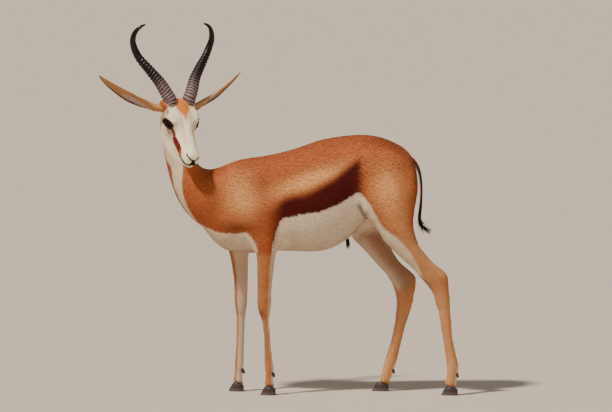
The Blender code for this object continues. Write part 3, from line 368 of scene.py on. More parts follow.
@dataclass(frozen=True)
class HeadFrame:
    """Frame of the turned head: nose on -X, left on -Y, crown on +Z."""

    origin: Vector
    yaw: float
    pitch: float

    def level(self) -> tuple[Vector, Vector, Vector]:
        """Left, back and up of the turned head before it is pitched.

        Returns:
            Unit directions.
        """
        left = Vector((math.cos(self.yaw), math.sin(self.yaw), 0.0))
        back = Vector((-math.sin(self.yaw), math.cos(self.yaw), 0.0))
        return left, back, Vector((0.0, 0.0, 1.0))

    def axes(self) -> tuple[Vector, Vector, Vector]:
        """Rear, right and top of the pitched head.

        Returns:
            Unit directions.
        """
        left, back, high = self.level()
        rear = back * math.cos(self.pitch) + high * math.sin(self.pitch)
        top = high * math.cos(self.pitch) - back * math.sin(self.pitch)
        return rear, -left, top

    def point(self, x: float, y: float, z: float) -> Vector:
        """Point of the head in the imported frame."""
        rear, right, top = self.axes()
        return self.origin + rear * x + right * y + top * z

    def level_point(self, side: float, sideways: float, backwards: float, high: float) -> Vector:
        """Point placed from the level head; side is -1 for the left and 1 for the right."""
        left, back, up = self.level()
        return self.origin - left * side * sideways + back * backwards + up * high

    def local(self, points: np.ndarray) -> np.ndarray:
        """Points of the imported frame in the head's own frame."""
        turn = np.array([list(axis) for axis in self.axes()])
        return (points - np.array(self.origin)) @ turn.T

    def turn(self) -> Matrix:
        """Rotation from the head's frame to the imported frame."""
        return Matrix([list(axis) for axis in self.axes()]).transposed()


HEAD = HeadFrame(HEAD_ORIGIN, HEAD_YAW, HEAD_PITCH)


def new_object(name: str, data: bpy.types.ID) -> bpy.types.Object:
    """Link a mesh, lamp or camera to the scene as an object at the origin.

    Args:
        name: Name of the object.
        data: What it holds.

    Returns:
        The new object.
    """
    item = bpy.data.objects.new(name, data)
    bpy.context.scene.collection.objects.link(item)
    return item


def mesh_object(name: str, points: Sequence, faces: Sequence) -> bpy.types.Object:
    """Make an object from points and faces.

    Args:
        name: Name of the object.
        points: Its points.
        faces: Its faces as rows of point numbers.

    Returns:
        The new object.
    """
    mesh = bpy.data.meshes.new(name)
    mesh.from_pydata([tuple(p) for p in points], [], [tuple(f) for f in faces])
    mesh.update()
    return new_object(name, mesh)


def discard(item: bpy.types.Object) -> None:
    """Remove an object and its mesh.

    Args:
        item: The object.
    """
    mesh = item.data
    bpy.data.objects.remove(item)
    if isinstance(mesh, bpy.types.Mesh) and mesh.users == 0:
        bpy.data.meshes.remove(mesh)


def settle(item: bpy.types.Object) -> bpy.types.Object:
    """Turn an object's modifiers into its own mesh.

    Args:
        item: The object.

    Returns:
        The same object.
    """
    graph = bpy.context.evaluated_depsgraph_get()
    mesh = bpy.data.meshes.new_from_object(item.evaluated_get(graph), preserve_all_data_layers=True, depsgraph=graph)
    old = item.data
    item.modifiers.clear()
    item.data = mesh
    mesh.name = item.name
    if old.users == 0:
        bpy.data.meshes.remove(old)
    return item


def rows_of(items: bpy.types.bpy_prop_collection, key: str, wide: int) -> np.ndarray:
    """Values of a mesh's collection as rows.

    Args:
        items: The collection.
        key: Which value to read.
        wide: Numbers in each row.

    Returns:
        The rows.
    """
    flat = np.empty(len(items) * wide, np.float32)
    items.foreach_get(key, flat)
    return flat.reshape(-1, wide).astype(float)


def points_of(mesh: bpy.types.Mesh) -> np.ndarray:
    """A mesh's points as rows."""
    return rows_of(mesh.vertices, "co", 3)


def normals_of(mesh: bpy.types.Mesh) -> np.ndarray:
    """A mesh's vertex normals as rows."""
    return rows_of(mesh.vertex_normals, "vector", 3)


def lip_of(mesh: bpy.types.Mesh) -> np.ndarray:
    """How bare a mesh's points are, as on lips and nostrils."""
    return rows_of(mesh.attributes["lip"].data, "value", 1)[:, 0]


def set_points(mesh: bpy.types.Mesh, points: np.ndarray) -> None:
    """Move a mesh's points."""
    mesh.vertices.foreach_set("co", points.astype(np.float32).ravel())
    mesh.update()


def store(mesh: bpy.types.Mesh, name: str, kind: str, values: np.ndarray) -> None:
    """Keep one value for each point of a mesh as a named attribute.

    Args:
        mesh: The mesh.
        name: Name of the attribute.
        kind: FLOAT, FLOAT_VECTOR or FLOAT_COLOR.
        values: One row for each point.
    """
    layer = mesh.attributes.get(name) or mesh.attributes.new(name, kind, "POINT")
    if kind == "FLOAT_COLOR" and values.shape[1] == 3:
        values = np.hstack([values, np.ones((len(values), 1))])
    key = {"FLOAT": "value", "FLOAT_VECTOR": "vector", "FLOAT_COLOR": "color"}[kind]
    layer.data.foreach_set(key, np.ascontiguousarray(values, np.float32).ravel())


def smooth_shade(item: bpy.types.Object) -> None:
    """Shade every face smooth."""
    item.data.polygons.foreach_set("use_smooth", [True] * len(item.data.polygons))
    item.data.update()


def paint(item: bpy.types.Object, colour: np.ndarray, run: Sequence[float]) -> None:
    """Store the colours and one run of the hair on a piece, and shade it smooth.

    Args:
        item: The piece.
        colour: One colour for each of its points.
        run: Weights of the grain.
    """
    store(item.data, "coat_colour", "FLOAT_COLOR", colour)
    store(item.data, "hair_run", "FLOAT_VECTOR", np.tile(run, (len(colour), 1)))
    smooth_shade(item)


def bmesh_object(name: str, shape: bmesh.types.BMesh) -> bpy.types.Object:
    """Turn an edited shape into an object and free it.

    Args:
        name: Name of the object.
        shape: The edited shape.

    Returns:
        The new object.
    """
    mesh = bpy.data.meshes.new(name)
    shape.to_mesh(mesh)
    shape.free()
    return new_object(name, mesh)


@contextmanager
def edited(mesh: bpy.types.Mesh) -> Iterator[bmesh.types.BMesh]:
    """Open a mesh for editing and write it back at the end.

    Args:
        mesh: The mesh.

    Yields:
        The shape to edit.
    """
    shape = bmesh.new()
    shape.from_mesh(mesh)
    yield shape
    shape.to_mesh(mesh)
    shape.free()


def face_outward(item: bpy.types.Object) -> None:
    """Turn all faces outwards."""
    with edited(item.data) as shape:
        bmesh.ops.recalc_face_normals(shape, faces=shape.faces)


def ring_faces(rows: int, count: int, closed: bool = False) -> list[tuple[int, ...]]:
    """Faces between rings of points, and from the last ring to the first if closed.

    Args:
        rows: Number of rings.
        count: Points in each ring.
        closed: Whether the last ring meets the first.

    Returns:
        The faces as rows of point numbers.
    """
    faces = []
    for row in range(rows if closed else rows - 1):
        after = (row + 1) % rows * count
        for k in range(count):
            b = (k + 1) % count
            faces.append((row * count + k, row * count + b, after + b, after + k))
    return faces


def loft(name: str, rings: Sequence[Sequence[Vector]]) -> bpy.types.Object:
    """Skin a closed body through rings with as many points each.

    Args:
        name: Name of the object.
        rings: Rings of points, from one end to the other.

    Returns:
        The closed body.
    """
    count = len(rings[0])
    points = [Vector(point) for ring in rings for point in ring]
    faces = ring_faces(len(rings), count)
    points.append(sum((Vector(p) for p in rings[0]), Vector()) / count)
    points.append(sum((Vector(p) for p in rings[-1]), Vector()) / count)
    last = (len(rings) - 1) * count
    for k in range(count):
        faces.append(((k + 1) % count, k, len(points) - 2))
        faces.append((last + k, last + (k + 1) % count, len(points) - 1))
    item = mesh_object(name, points, faces)
    face_outward(item)
    return item


def oval(
    first: Vector, second: Vector, side: Vector, half: float,
    share: float = 0.5, upper: float = 1.0, lower: float = 1.0, count: int = 48,
) -> list[Vector]:
    """Egg-shaped ring between two points.

    Args:
        first: Upper or front point.
        second: Lower or rear point.
        side: Direction of its width.
        half: Half of its width.
        share: Where between the points it is widest.
        upper: Roundness of the part near the first point.
        lower: Roundness of the part near the second point.
        count: Points in the ring.

    Returns:
        The ring's points.
    """
    first, second, side = Vector(first), Vector(second), Vector(side).normalized()
    middle = first.lerp(second, share)
    ring = []
    for k in range(count):
        angle = math.tau * k / count
        c, s = math.cos(angle), math.sin(angle)
        power = upper if c >= 0.0 else lower
        reach = abs(c) ** power * (1.0 if c >= 0.0 else -1.0)
        along = (first - middle) * reach if reach >= 0.0 else (second - middle) * -reach
        ring.append(middle + along + side * s * half)
    return ring


def ellipsoid(name: str, centre: Vector, radii: Sequence[float], turn: Matrix) -> bpy.types.Object:
    """Smooth egg-shaped body.

    Args:
        name: Name of the object.
        centre: Its centre.
        radii: Its three half sizes.
        turn: Its rotation.

    Returns:
        The body.
    """
    shape = bmesh.new()
    bmesh.ops.create_icosphere(shape, subdivisions=4, radius=1.0)
    for vertex in shape.verts:
        vertex.co = Vector(centre) + turn @ Vector([vertex.co[k] * radii[k] for k in range(3)])
    return bmesh_object(name, shape)


def join(name: str, items: Sequence[bpy.types.Object]) -> bpy.types.Object:
    """Put several meshes into one object and remove the rest.

    Args:
        name: Name of the object.
        items: The meshes to join.

    Returns:
        The joined object.
    """
    shape = bmesh.new()
    for item in items:
        shape.from_mesh(item.data)
    for item in items:
        discard(item)
    return bmesh_object(name, shape)


def node_copy(node: bpy.types.Object, swell: float = 0.0) -> bpy.types.Object:
    """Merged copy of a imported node's mesh.

    Args:
        node: The node.
        swell: How far to push the copy's points outwards.

    Returns:
        The copy.
    """
    shape = bmesh.new()
    shape.from_mesh(node.data)
    bmesh.ops.remove_doubles(shape, verts=shape.verts, dist=0.00001)
    shape.normal_update()
    if swell:
        for vertex in shape.verts:
            vertex.co += vertex.normal * swell
    return bmesh_object(node.name + "_copy", shape)


def relax(mesh: bpy.types.Mesh, points: np.ndarray, weight: np.ndarray, rounds: int) -> np.ndarray:
    """Smooth points along the mesh's edges.

    Args:
        mesh: Mesh that gives the edges.
        points: Points to smooth.
        weight: Share of the way each point goes to its neighbours' middle.
        rounds: How often.

    Returns:
        The smoothed points.
    """
    ends = np.empty(len(mesh.edges) * 2, np.int64)
    mesh.edges.foreach_get("vertices", ends)
    first, second = ends[0::2], ends[1::2]
    count = len(points)
    shares = np.bincount(first, minlength=count) + np.bincount(second, minlength=count)
    shares = np.maximum(shares, 1)[:, None]
    for _ in range(rounds):
        total = np.stack([
            np.bincount(first, points[second, k], count) + np.bincount(second, points[first, k], count)
            for k in range(3)
        ], 1)
        points = points + weight[:, None] * (total / shares - points)
    return points


class Flow:
    """Lie of the coat over the body."""

    def __init__(self, points: np.ndarray) -> None:
        """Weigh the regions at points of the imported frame.

        Args:
            points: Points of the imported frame.
        """
        plain = points - np.array(ORIGIN)
        x, z = plain[:, 0], plain[:, 2]
        local = HEAD.local(points)
        table = np.array(HEAD_SECTIONS)[::-1]
        top, low, half = (np.interp(local[:, 0], table[:, 0], table[:, k]) for k in (1, 2, 3))
        high = (local[:, 2] - (top + low) / 2.0) / ((top - low) / 2.0 + 0.008)
        self.skull = np.hypot(high, local[:, 1] / (half + 0.012))
        self.head = step(1.42, 1.16, self.skull) * step(0.066, 0.05, local[:, 0]) * step(0.7, 0.72, z)
        self.head *= step(-0.245, -0.235, local[:, 0])
        self.leg = step(0.5, 0.44, z)
        slant = z - 0.66 - 0.75 * (x + 0.285)
        self.neck = step(-0.06, 0.05, slant) * step(-0.17, -0.25, x) * (1.0 - self.head)
        self.rump = step(0.25, 0.37, x) * (1.0 - self.leg)
        self.local = local
        self.plain = plain

    def along(self, normals: np.ndarray) -> np.ndarray:
        """Direction in which the hair lies at each point.

        Args:
            normals: Outward normals of the points.

        Returns:
            Unit directions in the surface.
        """
        rear = np.array(HEAD.axes()[0])
        lie = np.tile(np.array((1.0, 0.0, -0.22)), (len(normals), 1))
        for weight, way in (
            (self.neck, (0.3, 0.0, -1.0)), (self.rump, (0.35, 0.0, -1.0)), (self.leg, (0.1, 0.0, -1.0)),
        ):
            lie += weight[:, None] * (np.array(way) - lie)
        lie += self.head[:, None] * (rear - lie)
        lie -= normals * np.sum(lie * normals, 1)[:, None]
        return unit(lie)

    def run(self) -> np.ndarray:
        """Weights of the grain down the body's columns, up the face and elsewhere."""
        column = np.maximum(np.maximum(self.leg, self.neck), self.rump)
        return np.stack([column, self.head, 1.0 - self.head], 1)


class Markings:
    """Colours of the coat by place, the same for skin and tufts."""

    def __init__(self, points: np.ndarray, normals: np.ndarray) -> None:
        """Keep the places in the measuring frame and in the head's.

        Args:
            points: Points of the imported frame.
            normals: Outward normals there.
        """
        self.points = points
        self.plain = points - np.array(ORIGIN)
        self.normals = normals
        self.flow = Flow(points)
        self.x, self.y, self.z = self.plain.T
        self.wide = np.abs(self.y)
        self.sign = np.where(self.y < 0.0, -1.0, 1.0)
        self.outward = self.sign * normals[:, 1]
        self.shaggy = ripple(points, 160.0) * 0.0022 + ripple(points, 420.0, 3.0) * 0.0012
        self.height = self.z - 0.075 * self.wide + self.shaggy
        left, right = (on_table(self.x, table) for table in (LEFT_EDGE, RIGHT_EDGE))
        self.edge = left + step(-0.004, 0.004, self.y) * (right - left)

    @staticmethod
    def mix(colour: np.ndarray, shade: Shade | np.ndarray, weight: np.ndarray) -> np.ndarray:
        """Blend colours towards a shade."""
        aim = shade.array if isinstance(shade, Shade) else shade
        return colour + weight[:, None] * (aim - colour)

    def layered(
        self, base: Shade | np.ndarray, *layers: tuple[Shade | np.ndarray, np.ndarray],
    ) -> np.ndarray:
        """Lay shades over a base one after the other, each by its weight.

        Args:
            base: Shade or colours to start from.
            layers: Shade or colours of each layer, with its weights.

        Returns:
            The colours.
        """
        colour = np.tile(base.array, (len(self.x), 1)) if isinstance(base, Shade) else base
        for shade, weight in layers:
            colour = self.mix(colour, shade, weight)
        return colour

    def spot(self, x: float, z: float, wide: float, high: float) -> np.ndarray:
        """Soft patch on both sides of the body."""
        return blob((self.x, x, wide), (self.z, z, high))

    def body(self) -> np.ndarray:
        """Colours of the trunk and neck.

        Returns:
            One colour for each point.
        """
        x, h, z, spot = self.x, self.height, self.z, self.spot
        top = self.normals[:, 2]
        # Paler patches on the shoulder, along the flank above the band and on the thigh: painted highlight.
        pale = 1.1 * blob((x, 0.035, 0.13), (z - 0.35 * (x - 0.03), 0.7, 0.03)) + spot(-0.19, 0.645, 0.052, 0.07)
        pale += 1.1 * spot(0.285, 0.675, 0.05, 0.065) + 0.55 * spot(0.31, 0.57, 0.045, 0.06)
        # Rust on the rump's up- and back-facing surfaces: partly the rump's darker border, partly painted shade of its
        # edge.
        rim = step(0.2, 0.3, x) * step(0.6, 0.9, np.maximum(top, self.normals[:, 0]))
        inside = step(0.05, 0.04, self.wide)
        edge = self.edge + inside * (np.maximum(on_table(x, UNDER_EDGE), self.edge) - self.edge)
        soft = 0.0022 + 0.006 * step(0.26, 0.34, x)
        white = step(soft, -soft, h - edge)
        white *= step(0.43, 0.4, x)
        # Dark line in the crease between belly and thigh: painted shade.
        groin_crease_shade = np.exp(-((x * 0.877 + z * 0.48 - 0.464) / 0.006) ** 2) * step(0.54, 0.565, z)
        return self.layered(
            Shade.CINNAMON,
            (Shade.PALE_CINNAMON, np.clip(pale, 0.0, 1.0) * 0.85),
            # Rust in the hollow behind the shoulder: painted shade.
            (Shade.RUST, spot(-0.115, 0.69, 0.034, 0.06) * 0.35),
            # Rust on up-facing surfaces: painted shade along the back's top edge.
            (Shade.RUST, step(0.55, 0.95, top) * 0.3),
            (Shade.RUST, rim * 0.55),
            # Darker rust along the lower edge of the shoulder: painted shade.
            (Shade.RUST, spot(-0.195, 0.545, 0.065, 0.018) * 0.8),
            # Darker rust at the elbow where the band begins: partly the band's colour, partly painted shade.
            (Shade.RUST, spot(-0.072, 0.575, 0.024, 0.05) * 0.7),
            # Darker rust in a strip above the white of the chest and belly front: painted shade.
            (Shade.RUST, step(0.03, 0.0, h - edge) * step(-0.26, -0.05, x) * 0.45),
            (Shade.CANNON, step(0.59, 0.47, z) * step(0.2, 0.27, x) * 0.85),
            (Shade.RUST, self.fringe()),
            (Shade.BAND, self.band()),
            # The white underside turns mauve where it faces down: painted shade under the belly.
            (self.layered(Shade.WHITE, (Shade.PAINTED_SHADE_MAUVE, step(-0.2, -0.9, top) * 0.35)), white),
            (Shade.DARK, groin_crease_shade * step(0.634, 0.616, z) * step(0.035, 0.055, self.wide) * 0.8),
            (Shade.WHITE, self.throat()),
        )

    def fringe(self) -> np.ndarray:
        """Weight of the rust-coloured fringe above and around the dark band.

        Returns:
            One weight for each point.
        """
        x, h = self.x, self.height
        over = step(0.036, -0.004, h - on_table(x, BAND_EDGE))
        over *= step(-0.004, 0.002, h - self.edge)
        return over * step(-0.12, -0.07, x) * step(0.214, 0.188, x) * 0.85

    def band(self) -> np.ndarray:
        """Weight of the dark flank band.

        Returns:
            One weight for each point.
        """
        x, h = self.x, self.height
        soft = 0.016 + 0.008 * step(0.05, -0.08, x)
        weight = step(soft, -0.01, h - on_table(x, BAND_EDGE)) ** 1.4 * step(-0.004, 0.002, h - self.edge)
        return weight * step(-0.102, -0.048, x) * step(0.201, 0.18, x + 2.0 * self.shaggy)

    def throat(self) -> np.ndarray:
        """Weight of the white stripe on the throat.

        Returns:
            One weight for each point.
        """
        h, x = self.height, self.x + 0.4 * self.shaggy
        rear = on_table(h, THROAT_REAR) - 0.05 * step(0.72, 0.8, h) * step(-0.01, 0.01, self.y)
        weight = step(-0.002, 0.002, x - on_table(h, THROAT_FRONT)) * step(0.002, -0.002, x - rear)
        return weight * step(0.52, 0.55, h) * step(0.9, 0.86, h) * step(0.002, 0.01, self.wide) * (x < -0.3)

    def legs(self) -> np.ndarray:
        """Colours of the legs.

        Returns:
            One colour for each point.
        """
        front = self.x < FORE_END
        nx = self.normals[:, 0]
        fore = -0.86 * nx + 0.46 * self.outward + 0.1 * step(0.3, 0.1, self.z)
        hind = 0.3 * nx + 0.95 * self.outward + 0.1 + 1.3 * step(0.44, 0.27, self.z)
        tan = np.where(front, fore, hind) + self.shaggy * 40.0
        # Inner faces: darker white on the forelegs and where the hind legs face forward, brown-mauve elsewhere on the
        # hind legs; both painted shade.
        light = np.where(front, 1.0, step(-0.1, -0.65, nx + 0.25 * self.outward))
        inner = Shade.INNER.array + light[:, None] * (Shade.LEG_WHITE.array - Shade.INNER.array)
        knee = self.spot(-0.127, 0.268, 0.008, 0.012)
        return self.layered(
            Shade.LEG,
            (Shade.CANNON, step(0.4, 0.28, self.z) * ~front * 0.9),
            (inner, step(0.16, -0.14, tan)),
            (Shade.WHITE, step(0.45, 0.8, nx) * step(0.105, 0.085, self.z) * 0.8),
            (Shade.STRIPE, knee * front * step(0.1, 0.5, self.outward) * 0.7),
            (Shade.DARK, step(0.04, 0.028, self.z) * 0.5),
        )

    def head(self) -> np.ndarray:
        """Colours of the head.

        Returns:
            One colour for each point.
        """
        x, y, z = self.flow.local.T
        wide, fuzz = np.abs(y), self.shaggy
        comb = np.sin(y * 2300.0 + 2.0 * np.sin(y * 520.0 + x * 70.0) + x * 90.0) * 0.5 + 0.5
        # Ochre along the sides of the bridge: partly tint of the hair, partly painted shade.
        flank = blob((wide, 0.0165, 0.0055)) * step(-0.185, -0.15, x) * step(-0.048, -0.03, z)
        # Mauve under the brow between eye and bridge: painted shade.
        brow = blob((x, -0.086, 0.016), (wide, 0.029, 0.008)) * step(-0.045, -0.03, z)
        poll = step(0.006, 0.02, x + fuzz + 0.75 * np.maximum(-0.06 - z, 0.0))
        temple = step(-0.05, -0.04, x + fuzz) * step(0.0445, 0.0505, wide) * step(-0.066, -0.056, z)
        streak = 1.2 * fuzz + 0.0034 * (comb - 0.5)
        patch = step(0.004, -0.004, wide - on_table(x, PATCH_LINE) + streak)
        patch = patch * step(-0.03, -0.018, z) * step(-0.092, -0.08, x)
        middle, width = (on_table(x, STRIPE_LINE, k) for k in (1, 2))
        stripe = step(width + 0.0016, width - 0.0012, np.abs(z - middle + 0.6 * fuzz))
        stripe *= step(-0.178, -0.168, x) * step(-0.078, -0.084, x) * step(0.01, 0.016, wide)
        return self.eye_surround(self.layered(
            Shade.CREAM,
            (Shade.WHITE, step(-0.06, -0.085, z) * 0.5),
            (Shade.OCHRE, flank * (0.25 + 0.45 * comb)),
            (Shade.PAINTED_SHADE_MAUVE, brow * 0.45),
            # Mauve streaks beside the eyes and mauve on the cheeks: painted shade.
            (Shade.PAINTED_SHADE_MAUVE, comb ** 3 * step(-0.11, -0.06, x) * step(-0.055, -0.03, z) * 0.5),
            (Shade.PAINTED_SHADE_MAUVE, blob((x, -0.075, 0.034), (z, -0.083, 0.022)) * 0.55),
            (Shade.CINNAMON, poll),
            (Shade.TEMPLE, temple * step(0.0, -0.012, z)),
            (Shade.FOREHEAD, patch * 0.95),
            (Shade.RUST, patch * comb ** 2 * step(-0.075, -0.04, x) * 0.4),
            (Shade.STRIPE, stripe),
            (Shade.FOREHEAD, stripe * step(-0.15, -0.166, x) * 0.6),
            (Shade.DARK, stripe * step(-0.104, -0.09, x) * 0.8),
        ))

    def eye_surround(self, colour: np.ndarray) -> np.ndarray:
        """Add the dark skin round both eyes, and mauve below them as painted shade.

        Args:
            colour: Colours of the head.

        Returns:
            The colours with both surrounds.
        """
        for side, _ in SIDES:
            away, a, b, _ = from_eye(self.points, side)
            near = np.linalg.norm(away, axis=1) < SURROUND_REACH
            reach = ((a + 0.0028) / 0.0245) ** 2 + (b / np.where(b > 0.0, 0.017, 0.0165)) ** 2
            colour = self.layered(
                colour,
                # Mauve below each eye: painted shade.
                (Shade.PAINTED_SHADE_MAUVE, blob((a, -0.002, 0.024), (b, -0.027, 0.016)) * near * 0.75),
                (Shade.STRIPE, step(1.45, 0.95, reach) * near * 0.8),
                (Shade.LIP, step(1.15, 0.85, reach) * near),
            )
        return colour

    def colours(self) -> np.ndarray:
        """Colours at all the points.

        Returns:
            One colour for each point.
        """
        front = self.x < FORE_END
        leg = np.where(front, step(0.475, 0.445, self.z), step(0.405, 0.365, self.z))
        inner = step(0.55, 0.5, self.z) * step(0.0, -0.5, self.outward) * step(0.02, 0.04, self.wide)
        half = 0.012 + 0.026 * step(0.745, 0.69, self.z)
        rump = step(0.45, 0.75, self.normals[:, 0]) * step(half + 0.005, half - 0.005, self.wide + self.shaggy)
        rump *= step(0.3, 0.33, self.x) * step(0.5, 0.54, self.z) * step(0.765, 0.74, self.z)
        crest = step(0.004, 0.0015, self.wide + 0.4 * self.shaggy) * step(0.5, 0.8, self.normals[:, 2])
        local = self.flow.local
        under = step(1.9, 1.3, self.flow.skull) * step(-0.095, -0.105, local[:, 2])
        behind = local[:, 0] + 0.75 * np.maximum(-0.06 - local[:, 2], 0.0)
        under *= 1.0 - step(0.006, 0.02, behind) * step(-0.02, 0.01, self.y)
        under *= step(-0.385, -0.415, self.x + 0.5 * np.maximum(self.y + 0.01, 0.0)) * step(0.72, 0.75, self.z)
        return self.layered(
            self.body(),
            (self.legs(), np.maximum(leg, inner)),
            (Shade.WHITE, rump),
            (Shade.WHITE, crest * step(0.24, 0.3, self.x) * 0.3),
            (Shade.WHITE, under),
            (self.head(), self.flow.head),
        )


@dataclass
class Skin:
    """One skin over torso, neck, head and legs, inside their solids by the coat's depth."""

    voxel: float = 0.0058
    depth: float = 0.002
    trunk_rounds: int = 45
    leg_rounds: int = 5
    head_rounds: int = 5
    eye_radius: float = 0.016
    ball_gap: float = 0.0006
    lid_thickness: float = 0.0012
    socket_depth: float = 0.0035
    flesh_swell: float = 0.0004
    last_inset: float = 0.0006
    mouth_groove: tuple[float, float] = (0.0044, 0.005)
    nostril_groove: tuple[float, float] = (0.0025, 0.0048)
    philtrum_groove: tuple[float, float] = (0.0014, 0.0022)
    mouth_line: Rows = (
        (-0.219, 0.0, -0.064), (-0.218, 0.003, -0.073), (-0.214, 0.01, -0.0805), (-0.2061, 0.02, -0.0815),
        (-0.196, 0.0245, -0.085), (-0.182, 0.027, -0.088), (-0.167, 0.029, -0.09),
    )
    nostril_line: Rows = (
        (-0.219, 0.001, -0.06), (-0.216, 0.01, -0.0545), (-0.209, 0.018, -0.0505),
        (-0.2, 0.0235, -0.0485), (-0.193, 0.025, -0.0475),
    )
    philtrum_line: Rows = ((-0.2195, 0.0, -0.06), (-0.22, 0.0, -0.0635), (-0.2195, 0.0, -0.067))
    flesh: tuple[str, ...] = (
        "torso", "neck", "leg_front_left", "leg_front_right", "leg_hind_left", "leg_hind_right",
    )

    def head_forms(self) -> list[bpy.types.Object]:
        """Skull, muzzle and the masses on them.

        Returns:
            The forms, to be fused later.
        """
        right = HEAD.axes()[1]
        rings = [
            oval(HEAD.point(x, 0.0, top), HEAD.point(x, 0.0, low), right, half, share, 0.8, pinch)
            for x, top, low, half, share, pinch in smooth_rows(HEAD_SECTIONS, 5)
        ]
        items = [loft("skull", rings)]
        for centre, radii in HEAD_MASSES:
            for side, _ in SIDES:
                place = HEAD.point(centre[0], side * centre[1], centre[2])
                items.append(ellipsoid("mass", place, radii, HEAD.turn()))
        return items

    def neck_form(self) -> bpy.types.Object:
        """Neck from the shoulders to behind the jaw.

        Returns:
            The form, to be fused later.
        """
        rings = []
        for fx, fz, bx, bz, centre, half in smooth_rows(NECK_SECTIONS, 5):
            first = Vector((fx, centre, fz)) + ORIGIN
            second = Vector((bx, centre, bz)) + ORIGIN
            rings.append(oval(first, second, Vector((0.0, 1.0, 0.0)), half, 0.48, 0.94, 0.98))
        return loft("neck form", rings)

    def make(self, nodes: dict[str, bpy.types.Object]) -> bpy.types.Object:
        """Fuse the flesh into one even surface and shape it.

        Args:
            nodes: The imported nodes.

        Returns:
            The skin.
        """
        items = [node_copy(nodes[name], self.flesh_swell) for name in self.flesh]
        items += self.head_forms() + [self.neck_form()]
        skin = join("skin", items)
        remesh = skin.modifiers.new("fuse", "REMESH")
        remesh.mode = "VOXEL"
        remesh.voxel_size = self.voxel
        settle(skin)
        LOG.info("fused skin: %d points", len(skin.data.vertices))
        self.soften(skin)
        self.refine(skin, lambda local: (local[:, 0] < 0.06) & (np.abs(local[:, 1]) < 0.09) & (local[:, 2] > -0.14))
        self.refine(skin, lambda local: (
            ((local[:, 0] < -0.15) & (local[:, 2] > -0.13))
            | ((np.abs(local[:, 0] + 0.068) < 0.03) & (np.abs(local[:, 2] + 0.037) < 0.024)
               & (np.abs(local[:, 1]) > 0.018))
        ))
        self.sculpt(skin)
        smooth_shade(skin)
        return skin

    def soften(self, skin: bpy.types.Object) -> None:
        """Smooth the fused surface, most on the trunk.

        Args:
            skin: The fused skin.
        """
        mesh = skin.data
        points = points_of(mesh)
        flow = Flow(points)
        trunk = step(0.5, 0.58, flow.plain[:, 2]) * (1.0 - flow.head)
        points = relax(mesh, points, 0.5 * trunk, self.trunk_rounds)
        points = relax(mesh, points, 0.5 * np.ones(len(points)), self.leg_rounds)
        set_points(mesh, points)
        normals = normals_of(mesh)
        x, y, z = (points - np.array(ORIGIN)).T
        lift = np.zeros(len(points))
        for cx, cz, rx, rz, high in BODY_RELIEF:
            lift += high * blob((x, cx, rx), (z, cz, rz))
        lift *= step(0.015, 0.035, np.abs(y)) * step(0.46, 0.52, z)
        tendon = x - 0.385 - 0.778 * (0.49 - z) + 0.115 * (y > 0.0)
        hollow = np.exp(-(tendon / 0.0075) ** 2) * step(0.385, 0.41, z) * step(0.525, 0.485, z)
        lift += 0.0028 * (x > FORE_END) * step(0.43, 0.36, z) * step(0.03, 0.055, z)
        lift -= 0.0034 * hollow + self.depth * 0.5 * trunk
        set_points(mesh, points + normals * lift[:, None])

    @staticmethod
    def refine(skin: bpy.types.Object, chosen: Callable[[np.ndarray], np.ndarray]) -> None:
        """Divide the faces of a region of the head once.

        Args:
            skin: The skin.
            chosen: Tells from points in the head's frame which are in the region.
        """
        with edited(skin.data) as shape:
            shape.edges.ensure_lookup_table()
            places = np.array([(edge.verts[0].co + edge.verts[1].co) / 2.0 for edge in shape.edges])
            marks = chosen(HEAD.local(places)) & (places[:, 2] > 0.7)
            edges = [shape.edges[index] for index in np.nonzero(marks)[0]]
            bmesh.ops.subdivide_edges(shape, edges=edges, cuts=1, use_grid_fill=True, smooth=0.8)
            bmesh.ops.triangulate(shape, faces=[face for face in shape.faces if len(face.verts) > 4])

    def press(self, mesh: bpy.types.Mesh, line: Rows, width: float, depth: float) -> np.ndarray:
        """Press a groove along a line and its mirrored one on the head.

        Args:
            mesh: The skin's mesh.
            line: Points of the head's frame, on the right side.
            width: Half width of the groove.
            depth: Its depth.

        Returns:
            How near each point is to the groove, from 0 to 1.
        """
        points, normals = points_of(mesh), normals_of(mesh)
        local = HEAD.local(points)
        close = np.nonzero(local[:, 0] < -0.1)[0]
        near = np.zeros(len(points))
        for side, _ in SIDES:
            track = smooth_rows(np.array(line) * (1.0, side, 1.0), 6)
            spread = np.linalg.norm(local[close][:, None, :] - track[None], axis=2)
            track = local[close][spread.argmin(0)]
            away = np.full(len(close), 1.0)
            for a, b in zip(track, track[1:]):
                span = b - a
                share = np.clip(((local[close] - a) @ span) / max(span @ span, 1e-9), 0.0, 1.0)
                away = np.minimum(away, np.linalg.norm(local[close] - a - share[:, None] * span, axis=1))
            near[close] = np.maximum(near[close], np.exp(-(away / width) ** 2))
        set_points(mesh, points - normals * (near * depth)[:, None])
        return near

